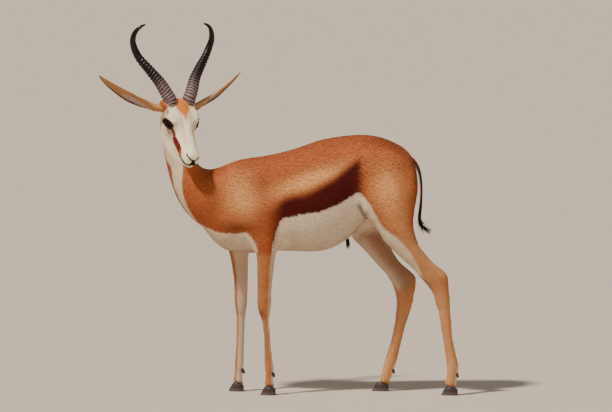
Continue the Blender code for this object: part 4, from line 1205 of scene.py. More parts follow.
    def sculpt(self, skin: bpy.types.Object) -> None:
        """Shape the eye sockets, lips, nostrils and the forms of the face.

        Args:
            skin: The softened skin.
        """
        mesh = skin.data
        points = points_of(mesh)
        flow = Flow(points)
        points = relax(mesh, points, 0.5 * flow.head, self.head_rounds)
        set_points(mesh, points)
        normals = normals_of(mesh)
        x, y, z = HEAD.local(points).T
        wide = np.abs(y)
        lift = np.zeros(len(points))
        for cx, cy, cz, reach, high in FACE_RELIEF:
            lift += high * np.exp(-((x - cx) ** 2 + (wide - cy) ** 2 + (z - cz) ** 2) / reach ** 2)
        points = points + normals * lift[:, None]
        for side, _ in SIDES:
            look = np.array(eye_axes(side)[0])
            away, a, b, depth = from_eye(points, side)
            shape = almond(a, b)
            room = np.sqrt(np.maximum((self.eye_radius + self.ball_gap) ** 2 - a ** 2 - b ** 2, 0.0))
            distance = np.linalg.norm(away, axis=1)
            close = (depth > 0.0) & (distance < EYE_REACH)
            socket = step(1.1, 0.95, shape) * close
            hollow = room - self.socket_depth
            points += look * ((hollow - depth) * socket)[:, None]
            lid = step(1.0, 1.12, shape) * step(2.4, 1.5, shape) * close
            raised = np.maximum(self.eye_radius + self.lid_thickness - distance, 0.0)
            points += unit(away) * (raised * lid)[:, None]
        set_points(mesh, points)
        dark = self.press(mesh, self.mouth_line, *self.mouth_groove)
        slit = self.press(mesh, self.nostril_line, *self.nostril_groove)
        middle = self.press(mesh, self.philtrum_line, *self.philtrum_groove)
        store(mesh, "lip", "FLOAT", np.maximum(dark ** 0.35, np.maximum(slit, middle) ** 0.8))
        set_points(mesh, points_of(mesh) - normals_of(mesh) * self.last_inset)

    def mark(self, skin: bpy.types.Object) -> None:
        """Store the markings and the run of the hair on the skin.

        Args:
            skin: The finished skin.
        """
        mesh = skin.data
        points, normals = points_of(mesh), normals_of(mesh)
        colour = Markings(points, normals).colours()
        colour = Markings.mix(colour, Shade.LIP, step(0.3, 0.62, lip_of(mesh)))
        store(mesh, "coat_colour", "FLOAT_COLOR", colour)
        store(mesh, "hair_run", "FLOAT_VECTOR", Flow(points).run())


def almond(a: np.ndarray, b: np.ndarray) -> np.ndarray:
    """Distance measure of the opening between the lids, 1 on its edge."""
    return np.abs(a / LID_LENGTH) ** 2.0 + np.abs(b / LID_HEIGHT) ** 1.7


def eye_centre(side: float) -> np.ndarray:
    """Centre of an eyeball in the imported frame."""
    return np.array(HEAD.point(EYE_PLACE[0], side * EYE_PLACE[1], EYE_PLACE[2]))


def eye_axes(side: float) -> tuple[Vector, Vector, Vector]:
    """Look, corner and up directions of an eye.

    Args:
        side: -1 for the left and 1 for the right.

    Returns:
        Unit directions.
    """
    rear, right, top = HEAD.axes()
    forward, upward = math.radians(EYE_FORWARD), math.radians(EYE_UPWARD)
    look = right * side * math.cos(forward) - rear * math.sin(forward)
    look = (look + top * math.tan(upward)).normalized()
    along = (rear - look * rear.dot(look)).normalized()
    along = (along - top * EYE_SLANT).normalized()
    along = (along - look * along.dot(look)).normalized()
    high = look.cross(along).normalized()
    if high.dot(top) < 0.0:
        high = -high
    return look, along, high


def from_eye(points: np.ndarray, side: float) -> tuple[np.ndarray, np.ndarray, np.ndarray, np.ndarray]:
    """Offsets of points from an eye, and how far they are along, above and in front of it.

    Args:
        points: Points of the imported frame.
        side: -1 for the left and 1 for the right.

    Returns:
        The offsets and the three distances.
    """
    look, along, high = (np.array(axis) for axis in eye_axes(side))
    away = points - eye_centre(side)
    return away, away @ along, away @ high, away @ look


class NodeBuilder:
    """Short way to add and link nodes in a tree."""

    def __init__(self, tree: bpy.types.NodeTree) -> None:
        """Keep the tree."""
        self.tree = tree

    @classmethod
    def group(
        cls, name: str, kind: str, inputs: Sequence[tuple[str, str, object]], outputs: Sequence[tuple[str, str]],
    ) -> tuple["NodeBuilder", bpy.types.Node, bpy.types.Node]:
        """Start a node group.

        Args:
            name: Name of the group.
            kind: Type of its tree.
            inputs: Name, type and first value of each input; None leaves the value.
            outputs: Name and type of each output.

        Returns:
            The builder and the group's two end nodes.
        """
        tree = bpy.data.node_groups.new(name, kind)
        for label, socket, value in inputs:
            made = tree.interface.new_socket(label, in_out="INPUT", socket_type="NodeSocket" + socket)
            if value is not None:
                made.default_value = value
        for label, socket in outputs:
            tree.interface.new_socket(label, in_out="OUTPUT", socket_type="NodeSocket" + socket)
        nodes = cls(tree)
        return nodes, nodes.add("NodeGroupInput"), nodes.add("NodeGroupOutput")

    def feed(self, node: bpy.types.Node, inputs: dict[str | int, object]) -> None:
        """Set a node's inputs, and link those whose value is a socket.

        Args:
            node: The node.
            inputs: Value or socket for each input, by its name or number.
        """
        for key, value in inputs.items():
            if isinstance(value, bpy.types.NodeSocket):
                self.tree.links.new(value, node.inputs[key])
            else:
                node.inputs[key].default_value = value

    def add(self, kind: str, inputs: dict[str | int, object] | None = None, **values: object) -> bpy.types.Node:
        """Add a node, set its properties and feed its inputs.

        Args:
            kind: Type of the node.
            inputs: Value or socket for each input, by its name or number.
            values: Properties to set.

        Returns:
            The new node.
        """
        node = self.tree.nodes.new(kind)
        for name, value in values.items():
            setattr(node, name, value)
        self.feed(node, inputs or {})
        return node

    def get(
        self, kind: str, inputs: dict[str | int, object] | None = None, output: str | int = 0, **values: object,
    ) -> bpy.types.NodeSocket:
        """Add a node as add does and return one of its outputs."""
        return self.add(kind, inputs, **values).outputs[output]

    def math(self, operation: str, *values: object) -> bpy.types.NodeSocket:
        """Result of a math node of values or sockets."""
        return self.get("ShaderNodeMath", dict(enumerate(values)), operation=operation)

    def attribute(self, name: str, output: str = "Fac") -> bpy.types.NodeSocket:
        """A stored attribute in a shader."""
        return self.get("ShaderNodeAttribute", None, output, attribute_name=name)

    def named(self, name: str, kind: str = "FLOAT_VECTOR") -> bpy.types.NodeSocket:
        """A stored attribute in Geometry Nodes."""
        return self.get("GeometryNodeInputNamedAttribute", {"Name": name}, "Attribute", data_type=kind)

    def place(self) -> bpy.types.NodeSocket:
        """Place in the object's own space."""
        return self.get("ShaderNodeTexCoord", None, "Object")

    def noise(self, place: object, scale: object, detail: float = 2.0, roughness: float = 0.5) -> bpy.types.NodeSocket:
        """Noise over a place."""
        inputs = {"Vector": place, "Scale": scale, "Detail": detail, "Roughness": roughness}
        return self.get("ShaderNodeTexNoise", inputs, "Fac")

    def mix(self, share: object, first: object, second: object, blend: str = "MIX") -> bpy.types.NodeSocket:
        """Blend of two colours."""
        return self.get("ShaderNodeMix", {0: share, 6: first, 7: second}, 2, data_type="RGBA", blend_type=blend)

    def between(self, share: object, first: object, second: object) -> bpy.types.NodeSocket:
        """Value between two values."""
        return self.get("ShaderNodeMix", {0: share, 2: first, 3: second}, data_type="FLOAT")

    def span(self, value: object, low: float, high: float, **values: object) -> bpy.types.NodeSocket:
        """Value mapped from a span to 0 and 1."""
        return self.get("ShaderNodeMapRange", {"Value": value, "From Min": low, "From Max": high}, **values)

    def bump(self, height: object, strength: float, distance: float) -> bpy.types.NodeSocket:
        """Normal of a bump."""
        return self.get("ShaderNodeBump", {"Height": height, "Strength": strength, "Distance": distance})


def start_material(
    name: str, inputs: dict[str, object],
) -> tuple[bpy.types.Material, NodeBuilder, bpy.types.Node]:
    """Start a material whose shader has some inputs set, with its builder and its shader.

    Args:
        name: Name of the material.
        inputs: Values of the shader's inputs.

    Returns:
        The material, its builder and its shader.
    """
    material = bpy.data.materials.new(name)
    material.use_nodes = True
    nodes = NodeBuilder(material.node_tree)
    shader = material.node_tree.nodes["Principled BSDF"]
    nodes.feed(shader, inputs)
    return material, nodes, shader


def hair_grain_group() -> bpy.types.NodeTree:
    """Shader group of fine hair grain that runs along the body, down the legs and up the face.

    Returns:
        The group, with outputs for height and shade.
    """
    nodes, entry, leave = NodeBuilder.group(
        "hair grain", "ShaderNodeTree",
        (("Column", "Float", None), ("Face", "Float", None), ("Fineness", "Float", 1.0)),
        (("Height", "Float"), ("Shade", "Float")),
    )
    place = nodes.place()
    grains = []
    for kind, inputs in (
        ("POINT", {"Scale": (60.0, 620.0, 620.0)}),
        ("POINT", {"Scale": (620.0, 620.0, 60.0)}),
        ("TEXTURE", {"Scale": (1.0 / 90.0, 1.0 / 900.0, 1.0 / 900.0), "Rotation": tuple(HEAD.turn().to_euler())}),
    ):
        mapped = nodes.get("ShaderNodeMapping", {"Vector": place, **inputs}, vector_type=kind)
        grains.append(nodes.noise(mapped, entry.outputs["Fineness"], 3.0, 0.6))
    height = nodes.between(entry.outputs["Column"], grains[0], grains[1])
    height = nodes.between(entry.outputs["Face"], height, grains[2])
    spread = nodes.math("MULTIPLY_ADD", height, 0.55, 0.62)
    shade = nodes.math("MULTIPLY_ADD", nodes.noise(place, 26.0, 4.0), 0.22, spread)
    nodes.feed(leave, {"Height": height, "Shade": shade})
    return nodes.tree


@dataclass(frozen=True)
class HairFinish:
    """Finish of skin or coat that carries the markings as an attribute."""

    name: str
    colour_name: str
    grain: bpy.types.NodeTree
    roughness: float = 0.78
    bump: float = 0.001
    strength: float = 0.55
    sheen: float = 0.04
    root_shade: float = 0.0

    def build(self) -> bpy.types.Material:
        """Make the material.

        Returns:
            The material.
        """
        material, nodes, shader = start_material(self.name, {
            "Roughness": self.roughness, "Specular IOR Level": 0.18, "Sheen Weight": self.sheen,
            "Sheen Roughness": 0.45, "Sheen Tint": (1.0, 0.86, 0.72, 1.0),
        })
        parts = nodes.add("ShaderNodeSeparateXYZ", {0: nodes.attribute("hair_run", "Vector")}).outputs
        run = {"Column": parts[0], "Face": parts[1]}
        grain = nodes.add("ShaderNodeGroup", run, node_tree=self.grain).outputs
        colour = nodes.mix(1.0, nodes.attribute(self.colour_name, "Color"), grain["Shade"], "MULTIPLY")
        if self.root_shade:
            low = 1.0 - 0.6 * self.root_shade
            darken = nodes.math("MULTIPLY_ADD", nodes.attribute("tip"), self.root_shade, low)
            colour = nodes.mix(1.0, colour, darken, "MULTIPLY")
        bump = nodes.bump(grain["Height"], self.strength, self.bump)
        nodes.feed(shader, {"Base Color": colour, "Normal": bump})
        return material


def tuft_tree() -> bpy.types.NodeTree:
    """Geometry Nodes that grow one thin, tapered tuft on each root point.

    Returns:
        The tree, with inputs for curl, width and material.
    """
    nodes, entry, leave = NodeBuilder.group(
        "tufts", "GeometryNodeTree",
        (("Roots", "Geometry", None), ("Curl", "Float", 0.12), ("Width Factor", "Float", 1.0),
         ("Finish", "Material", None)),
        (("Tufts", "Geometry"),),
    )
    get, math_of = nodes.get, nodes.math
    cone = get("GeometryNodeMeshCone", {
        "Vertices": 3, "Side Segments": 2, "Radius Top": 0.0, "Radius Bottom": 0.5, "Depth": 1.0,
    }, "Mesh", fill_type="NGON")
    parts = nodes.add("ShaderNodeSeparateXYZ", {0: get("GeometryNodeInputPosition")}).outputs
    rise = parts["Z"]
    tip = get("GeometryNodeStoreNamedAttribute", {"Name": "tip", "Geometry": cone, "Value": rise},
              data_type="FLOAT", domain="POINT")
    square = math_of("MULTIPLY", rise, rise)
    fuller = math_of("MULTIPLY_ADD", math_of("SUBTRACT", rise, square), 1.2, 0.9)
    across = math_of("MULTIPLY", math_of("MULTIPLY", parts["X"], fuller), entry.outputs["Width Factor"])
    bend = math_of("MULTIPLY", square, entry.outputs["Curl"])
    up = math_of("ADD", math_of("MULTIPLY", parts["Y"], fuller), bend)
    merged = get("ShaderNodeCombineXYZ", {0: across, 1: up, 2: rise})
    tuft = get("GeometryNodeSetPosition", {"Geometry": tip, "Position": merged})
    turn = get("FunctionNodeAxesToRotation", {0: nodes.named("lie"), 1: nodes.named("stand")},
               primary_axis="Z", secondary_axis="Y")
    spread = get("GeometryNodeInstanceOnPoints", {
        "Points": entry.outputs["Roots"], "Instance": tuft, "Rotation": turn, "Scale": nodes.named("size"),
    })
    real = get("GeometryNodeRealizeInstances", {0: spread})
    corner = math_of("MODULO", get("GeometryNodeInputIndex"), 3.0)
    shift = get("ShaderNodeCombineXYZ", {
        0: math_of("MULTIPLY", nodes.named("tip", "FLOAT"), 0.003), 1: math_of("MULTIPLY", corner, 0.001),
    })
    total = get("ShaderNodeVectorMath", {0: nodes.named("patch"), 1: shift}, operation="ADD")
    chart = get("GeometryNodeStoreNamedAttribute", {"Name": "OFBake", "Geometry": real, "Value": total},
                data_type="FLOAT2", domain="CORNER")
    even = get("GeometryNodeSetShadeSmooth", {"Geometry": chart})
    finish = get("GeometryNodeSetMaterial", {"Geometry": even, "Material": entry.outputs["Finish"]})
    nodes.feed(leave, {"Tufts": finish})
    return nodes.tree


def set_input(modifier: bpy.types.Modifier, name: str, value: object) -> None:
    """Set a modifier's input by the identifier of its named socket.

    Args:
        modifier: The Geometry Nodes modifier.
        name: Name of the socket.
        value: Value to set.
    """
    for item in modifier.node_group.interface.items_tree:
        if item.item_type == "SOCKET" and item.in_out == "INPUT" and item.name == name:
            modifier[item.identifier] = value


def sample_surface(
    mesh: bpy.types.Mesh, dense: Callable[[np.ndarray], np.ndarray], count: int, random: np.random.Generator,
    facts: np.ndarray,
) -> tuple[np.ndarray, np.ndarray, np.ndarray]:
    """Pick evenly spread points on a mesh.

    Args:
        mesh: The mesh.
        dense: Density at places, as a factor.
        count: Number of points.
        random: Source of seeded chance.
        facts: One row for each of the mesh's points, carried over to the picked ones.

    Returns:
        Places, normals and carried rows.
    """
    mesh.calc_loop_triangles()
    corners = np.empty(len(mesh.loop_triangles) * 3, np.int64)
    mesh.loop_triangles.foreach_get("vertices", corners)
    corners = corners.reshape(-1, 3)
    points, normals = points_of(mesh), normals_of(mesh)
    a, b, c = (points[corners[:, k]] for k in range(3))
    chance = np.linalg.norm(np.cross(b - a, c - a), axis=1) * dense((a + b + c) / 3.0)
    total = np.cumsum(chance) / chance.sum()
    spots = (np.arange(count) + random.random(count)) / count
    picked = corners[np.minimum(np.searchsorted(total, spots), len(total) - 1)]
    u, v = random.random(count), random.random(count)
    flip = u + v > 1.0
    u[flip], v[flip] = 1.0 - u[flip], 1.0 - v[flip]
    share = np.stack([1.0 - u - v, u, v], 1)
    place, stand, carried = (np.einsum("ij,ijk->ik", share, rows[picked]) for rows in (points, normals, facts))
    return place, unit(stand), carried


@dataclass
class Roots:
    """Root points of tufts with their directions, sizes, colours and places on the unwrap."""

    points: np.ndarray
    lie: np.ndarray
    stand: np.ndarray
    size: np.ndarray
    colour: np.ndarray
    run: np.ndarray
    patch: np.ndarray

    def part(self, keep: np.ndarray) -> "Roots":
        """Some of the roots."""
        return Roots(*(getattr(self, part.name)[keep] for part in fields(self)))

    def grow(
        self, name: str, tree: bpy.types.NodeTree, finish: bpy.types.Material, curl: float = 0.12, width: float = 1.0,
    ) -> bpy.types.Object:
        """Grow the tufts as one plain mesh.

        Args:
            name: Name of the piece.
            tree: The tuft tree.
            finish: Material of the tufts.
            curl: Bend of each tuft.
            width: Factor on the tufts' width.

        Returns:
            The piece.
        """
        item = mesh_object(name, self.points, [])
        mesh = item.data
        guides = {"lie": self.lie, "stand": self.stand, "size": self.size}
        guides["patch"] = np.hstack([self.patch, np.zeros((len(self.patch), 1))])
        for key, values in guides.items():
            store(mesh, key, "FLOAT_VECTOR", values)
        store(mesh, "tint", "FLOAT_COLOR", self.colour)
        store(mesh, "hair_run", "FLOAT_VECTOR", self.run)
        modifier = item.modifiers.new("tufts", "NODES")
        modifier.node_group = tree
        for key, value in (("Curl", curl), ("Width Factor", width), ("Finish", finish)):
            set_input(modifier, key, value)
        settle(item)
        for extra in guides:
            layer = item.data.attributes.get(extra)
            if layer:
                item.data.attributes.remove(layer)
        return item


class Zone(Enum):
    """Parts of the coat that make one piece each."""

    HEAD = "head"
    NECK = "neck"
    FLANK_LEFT = "flank_left"
    FLANK_RIGHT = "flank_right"
    RUMP = "rump"
    FORELEGS = "forelegs"
    HINDLEGS = "hindlegs"


@dataclass
class Coat:
    """Short coat of thin, flat tufts over the skin."""

    body_size: tuple[float, float, float] = (0.0017, 0.0005, 0.0135)
    leg_size: tuple[float, float, float] = (0.0013, 0.0004, 0.0085)
    face_size: tuple[float, float, float] = (0.001, 0.0003, 0.006)
    foot_size: tuple[float, float, float] = (0.001, 0.0003, 0.005)
    lift: float = 0.085
    sink: float = 0.0006
    lowest: float = 0.026
    bare_limit: float = 0.6
    count: int = 104000

    def scatter(self, skin: bpy.types.Object) -> Roots:
        """Place the roots evenly on the skin, closer where the tufts are short.

        Args:
            skin: The finished skin.

        Returns:
            The roots.
        """
        random = np.random.default_rng(SEED)

        def dense(centres: np.ndarray) -> np.ndarray:
            """Closer roots on the head and legs."""
            flow = Flow(centres)
            return 1.0 + 2.6 * flow.head + 1.3 * flow.leg

        place, stand, bare = sample_surface(skin.data, dense, self.count, random, lip_of(skin.data)[:, None])
        return self.dress(place, stand, bare[:, 0], random)

    def dress(self, place: np.ndarray, stand: np.ndarray, bare: np.ndarray, random: np.random.Generator) -> Roots:
        """Give each root its direction, size, colour and place on the unwrap.

        Args:
            place: Root points.
            stand: Normals there.
            bare: How bare the skin is there, as on lips and nostrils.
            random: Source of seeded chance.

        Returns:
            The roots that grow a tuft.
        """
        flow = Flow(place)
        lie = flow.along(stand)
        side = np.cross(stand, lie)
        wave = ripple(place, 22.0, 5.0) * 0.1 + random.normal(0.0, 0.09, len(place))
        lie = unit(lie + side * wave[:, None])
        lift = self.lift * (1.0 + 0.5 * random.random(len(place)))
        lie = unit(lie + stand * lift[:, None])
        size = np.tile(self.body_size, (len(place), 1))
        foot = flow.leg * step(0.14, 0.08, flow.plain[:, 2])
        for weight, aim in ((flow.leg, self.leg_size), (foot, self.foot_size), (flow.head, self.face_size)):
            size += weight[:, None] * (np.array(aim) - size)
        muzzle = flow.head * step(-0.15, -0.19, flow.local[:, 0])
        size *= (1.0 - 0.35 * muzzle)[:, None]
        size *= random.uniform(0.75, 1.2, (len(place), 1))
        marks = Markings(place + stand * 0.001, stand)
        colour = marks.colours()
        colour *= random.normal(1.0, 0.034, (len(place), 1)).clip(0.8, 1.2)
        colour = Markings.mix(colour, Shade.LIP, step(0.22, 0.5, bare))
        keep = (bare < self.bare_limit) & (place[:, 2] > self.lowest)
        for sign, _ in SIDES:
            away, a, b, depth = from_eye(place, sign)
            keep &= ~((almond(a, b) < 1.9) & (depth > 0.004) & (np.linalg.norm(away, axis=1) < EYE_REACH))
        roots = Roots(
            place - stand * self.sink, lie, stand, size, colour.clip(0.0, 1.0), flow.run(), self.unwrap(place, flow),
        )
        return roots.part(keep)

    @staticmethod
    def unwrap(place: np.ndarray, flow: Flow) -> np.ndarray:
        """Roll the body, neck, head and legs out flat, each round its own axis.

        Args:
            place: Root points.
            flow: Regions at the points.

        Returns:
            Places on the unwrap, from 0 to 1.
        """
        x, y, z = flow.plain.T

        def around(a: np.ndarray, b: np.ndarray) -> np.ndarray:
            """Share of a turn, from 0 to 1."""
            return np.arctan2(a, b) / math.tau + 0.5

        body = np.stack([(x + 0.4) / 0.86, around(y, z - 0.64)], 1)
        axis = np.interp(z, (0.55, 0.72, 0.95), (-0.3, -0.375, -0.405))
        neck = np.stack([around(y, x - axis), (z - 0.5) / 0.5], 1)
        lx, ly, lz = flow.local.T
        head = np.stack([(lx + 0.24) / 0.32, around(ly, lz + 0.06)], 1)
        fore = x < FORE_END
        left = y < 0.0
        centre = np.where(fore, np.where(left, -0.108, -0.195), np.where(
            left, np.interp(z, (0.0, 0.3, 0.5), (0.487, 0.465, 0.33)), np.interp(z, (0.0, 0.3, 0.5), (0.27, 0.34, 0.23))
        ))
        turn = around(np.abs(y) - 0.064, x - centre)
        leg = np.stack([0.5 * turn + np.where(left, 0.0, 0.5), z / 0.52], 1)
        for weight, part in ((flow.leg, leg), (flow.neck, neck), (flow.head, head)):
            body = np.where((weight > 0.5)[:, None], part, body)
        return np.clip(body, 0.002, 0.994)

    @staticmethod
    def zones(roots: Roots) -> dict[Zone, np.ndarray]:
        """Sort the roots into zones.

        Args:
            roots: All the roots.

        Returns:
            For each zone, which roots are in it.
        """
        flow = Flow(roots.points)
        x, y, _ = flow.plain.T
        head = flow.head > 0.5
        leg = (flow.leg > 0.5) & ~head
        neck = (flow.neck > 0.5) & ~head & ~leg
        rest = ~(head | leg | neck)
        rump = rest & (x > RUMP_START)
        return {
            Zone.HEAD: head, Zone.NECK: neck, Zone.RUMP: rump,
            Zone.FLANK_LEFT: rest & ~rump & (y < 0.0), Zone.FLANK_RIGHT: rest & ~rump & (y >= 0.0),
            Zone.FORELEGS: leg & (x < FORE_END), Zone.HINDLEGS: leg & (x >= FORE_END),
        }


def head_line(side: float, rows: np.ndarray) -> np.ndarray:
    """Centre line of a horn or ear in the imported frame."""
    return np.array([list(HEAD.level_point(side, *row[:3])) for row in rows])


@dataclass
class Horn:
    """Ringed horn that sweeps out and back and hooks in at its tip."""

    side: float
    word: str
    rings: float = 20.0
    ringed_share: float = 0.66
    ring_height: float = 0.0029
    swell: float = 1.05
    around: int = 44

    def build(self) -> bpy.types.Object:
        """Make the horn's mesh with its ring heights stored for the finish.

        Returns:
            The horn.
        """
        rows = smooth_rows(HORN_LINE, 24)
        centres = head_line(self.side, rows)
        travelled = np.concatenate([[0.0], np.cumsum(np.linalg.norm(np.diff(centres, axis=0), axis=1))])
        length = travelled[-1]
        ringed = length * self.ringed_share
        stations = list(np.linspace(0.0006, ringed, 260)) + list(np.linspace(ringed, length, 50)[1:])
        sideways = np.array(HEAD.level()[0]) * -self.side
        rings, crest, along_share = [], [], []
        for place in stations:
            centre = self.sample(place, travelled, centres)
            way = unit(self.sample(place + 0.004, travelled, centres) - self.sample(place - 0.004, travelled, centres))
            taper = 1.0 + (self.swell - 1.0) * (1.0 - place / length)
            radius = float(np.interp(place, travelled, rows[:, 3])) * taper
            first = unit(sideways - way * (sideways @ way))
            second = np.cross(way, first)
            ring = []
            for k in range(self.around):
                angle = math.tau * k / self.around
                wave, end = self.wave(place, angle, ringed), min(max((ringed - place) / 0.03, 0.0), 1.0)
                fade = (0.62 + 0.38 * min(2.2 * place / ringed, 1.0)) * (0.78 + 0.22 * math.cos(angle - 1.2))
                lift = self.ring_height * (wave - 0.7) * fade * end
                size = radius + lift
                ring.append(Vector(centre + first * math.cos(angle) * size + second * math.sin(angle) * size * 1.06))
                crest.append(wave * end)
                along_share.append(place / length)
            rings.append(ring)
        item = loft(f"horn_{self.word}_sheath", rings)
        crest += [0.0, 0.0]
        along_share += [0.0, 1.0]
        store(item.data, "ring_crest", "FLOAT", np.array(crest))
        store(item.data, "up_horn", "FLOAT", np.array(along_share))
        smooth_shade(item)
        return item

    def wave(self, place: float, angle: float, ringed: float) -> float:
        """Height of the rings, 0 in a groove and 1 on a crest.

        Args:
            place: Distance from the root.
            angle: Turn round the horn, 0 on its outer side.
            ringed: Length of the ringed part.

        Returns:
            The height.
        """
        slant = 0.0042 * math.cos(angle + 0.6) + 0.0009 * math.sin(3.0 * angle + place * 90.0)
        share = (place + slant) / ringed
        turns = self.rings * (1.25 * share - 0.25 * share * share) + 0.25
        phase = turns % 1.0
        groove = min(phase, 1.0 - phase)
        low = 1.0 - math.exp(-(groove / 0.13) ** 2)
        ridge = math.exp(-((phase - 0.52) / (0.15 if phase < 0.52 else 0.27)) ** 2)
        blend = min(max((share - 0.3) / 0.25, 0.0), 1.0)
        fine = 0.12 * math.sin(turns * 6.0 * math.pi + 1.0) * (1.0 - blend)
        return min(max(low * (1.0 - blend) + ridge * blend + fine, 0.0), 1.0)

    @staticmethod
    def sample(place: float, travelled: np.ndarray, centres: np.ndarray) -> np.ndarray:
        """Point on the centre line at a distance from the root."""
        return np.array([np.interp(place, travelled, centres[:, k]) for k in range(3)])


@dataclass(frozen=True)
class HornFinish:
    """Dark keratin, greyer and rougher on the rings and glossy at the tip."""

    name: str = "horn keratin"

    def build(self) -> bpy.types.Material:
        """Make the material.

        Returns:
            The material.
        """
        material, nodes, shader = start_material(self.name, {"Specular IOR Level": 0.35})
        place, rise = nodes.place(), nodes.attribute("up_horn")
        fade = nodes.span(rise, 0.46, 0.08, interpolation_type="SMOOTHSTEP")
        weight = nodes.math("MULTIPLY", nodes.math("POWER", nodes.attribute("ring_crest"), 2.2), fade)
        weight = nodes.math("MULTIPLY", weight, nodes.math("ADD", nodes.noise(place, 90.0), 0.35))
        colour = nodes.mix(weight, (*srgb(14, 3, 3), 1.0), (*srgb(150, 120, 120), 1.0))
        rough = nodes.get("ShaderNodeMapRange", {
            "Value": rise, "From Min": 0.3, "From Max": 0.85, "To Min": 0.55, "To Max": 0.28,
        })
        bump = nodes.bump(nodes.noise(place, 700.0, 4.0), 0.35, 0.0006)
        nodes.feed(shader, {"Base Color": colour, "Roughness": rough, "Normal": bump})
        return material


@dataclass
class Ear:
    """Long leaf-shaped ear with an open cup turned down and forward."""

    side: float
    word: str
    wall: float = 0.0026
    around: int = 13
    inset: float = 0.0008

    def build(self) -> tuple[bpy.types.Object, np.ndarray]:
        """Make the ear's mesh.

        Returns:
            The ear, and for each point its share along the ear, its place round the cup from -1 to 1, and 1 inside.
        """
        rows = smooth_rows(EAR_LINE, 5)
        left, back, high = HEAD.level()
        centres = [HEAD.level_point(self.side, row[0], row[1], row[2]) for row in rows]
        facing = (-back * 0.52 - high * 0.8 + left * self.side * 0.1).normalized()
        rings, facts = [], []
        for index, row in enumerate(rows):
            before = centres[max(index - 1, 0)]
            after = centres[min(index + 1, len(rows) - 1)]
            along = (after - before).normalized()
            cup = (facing - along * facing.dot(along)).normalized()
            across = along.cross(cup).normalized()
            share = index / (len(rows) - 1)
            half, depth = row[3] - self.inset, row[4] - self.inset
            opening = min(1.0, max(0.0, (index - 9) / 16.0))
            wall = min(self.wall, 0.5 * depth)
            top = 1.0 if -across.dot(high) > 0.0 else -1.0
            outer, inner = [], []
            for k in range(self.around):
                t = math.pi * k / (self.around - 1)
                outer.append(centres[index] - across * math.cos(t) * half - cup * math.sin(t) * depth)
                facts.append((share, math.cos(t) * top, 0.0))
            for k in range(self.around - 2, 0, -1):
                t = math.pi * k / (self.around - 1)
                flat = centres[index] - across * math.cos(t) * half + cup * math.sin(t) * depth * 0.75
                inner_half = half - wall * 0.75
                hollow = centres[index] - across * math.cos(t) * inner_half - cup * math.sin(t) * (depth - wall)
                inner.append(flat.lerp(hollow, opening))
                facts.append((share, math.cos(t) * top, opening))
            rings.append(outer + inner)
        facts += [(0.0, 0.0, 0.0), (1.0, 0.0, 0.0)]
        item = loft(f"ear_{self.word}_leaf", rings)
        paint(item, self.colours(np.array(facts)), FACE_RUN)
        return item, np.array(facts)

    @staticmethod
    def colours(facts: np.ndarray) -> np.ndarray:
        """Colours of the ear: tan, lighter along the upper rim as a paler edge and painted highlight, paler in the
        cup's lower part, dark along the lower rim as a dark edge and painted shade, and dark at the tip.

        Args:
            facts: Rows of share along the ear, place across it from lower to upper rim, and 1 inside.

        Returns:
            The colours.
        """
        share, across, inner = facts.T
        colour = np.tile(srgb(184, 130, 84), (len(share), 1))
        pale, dark, pale_edge_and_highlight = (np.array(srgb(*tone)) for tone in ((190, 166, 156), (74, 42, 36), (212, 160, 104)))
        low = step(0.16, -0.16, across - 0.6 * np.clip(0.3 - share, 0.0, 1.0))
        for shade, weight in (
            # Lighter upper rim: partly a paler edge, partly painted highlight.
            (pale_edge_and_highlight, step(0.55, 0.95, across) * 0.7),
            (pale, inner * low * step(0.66, 0.5, share)),
            # Dark lower rim: partly a dark edge, partly painted shade.
            (dark, step(-0.8, -0.93, across) * step(0.1, 0.22, share) * 0.9),
            (dark, step(0.94, 1.0, share) * 0.8),
        ):
            colour = Markings.mix(colour, shade, weight)
        return colour

    def hair(self, item: bpy.types.Object, facts: np.ndarray, count: int = 2600) -> Roots:
        """Roots of the short hair on the ear and of the longer pale hair in its cup.

        Args:
            item: The ear.
            facts: What build returned with it.
            count: Number of tufts.

        Returns:
            The roots.
        """
        random = np.random.default_rng(SEED + 5)
        place, stand, fact = sample_surface(item.data, lambda centres: np.ones(len(centres)), count, random, facts)
        ways = unit(np.gradient(head_line(self.side, smooth_rows(EAR_LINE, 5)), axis=0))
        way = ways[np.clip((fact[:, 0] * (len(ways) - 1)).round().astype(int), 0, len(ways) - 1)]
        lie = unit(way - stand * np.sum(way * stand, 1)[:, None])
        lie = unit(lie + random.normal(0.0, 0.1, (count, 3)) + stand * 0.1)
        cup = (fact[:, 2] > 0.5) & (fact[:, 0] < 0.55) & (random.random(count) < 0.5)
        length = np.where(cup, random.uniform(0.008, 0.014, count), random.uniform(0.004, 0.0065, count))
        size = sizes(0.0011, 0.0004, length * (1.0 - 0.5 * step(0.8, 1.0, fact[:, 0])))
        colour = self.colours(fact) * random.normal(1.0, 0.07, (count, 1)).clip(0.8, 1.25)
        run = np.tile(FACE_RUN, (count, 1))
        patch = np.stack([fact[:, 0] * 0.98, (fact[:, 1] * 0.5 + 0.5) * 0.48 + 0.49 * (fact[:, 2] > 0.5)], 1)
        return Roots(place - stand * 0.0004, lie, stand, size, colour, run, patch)


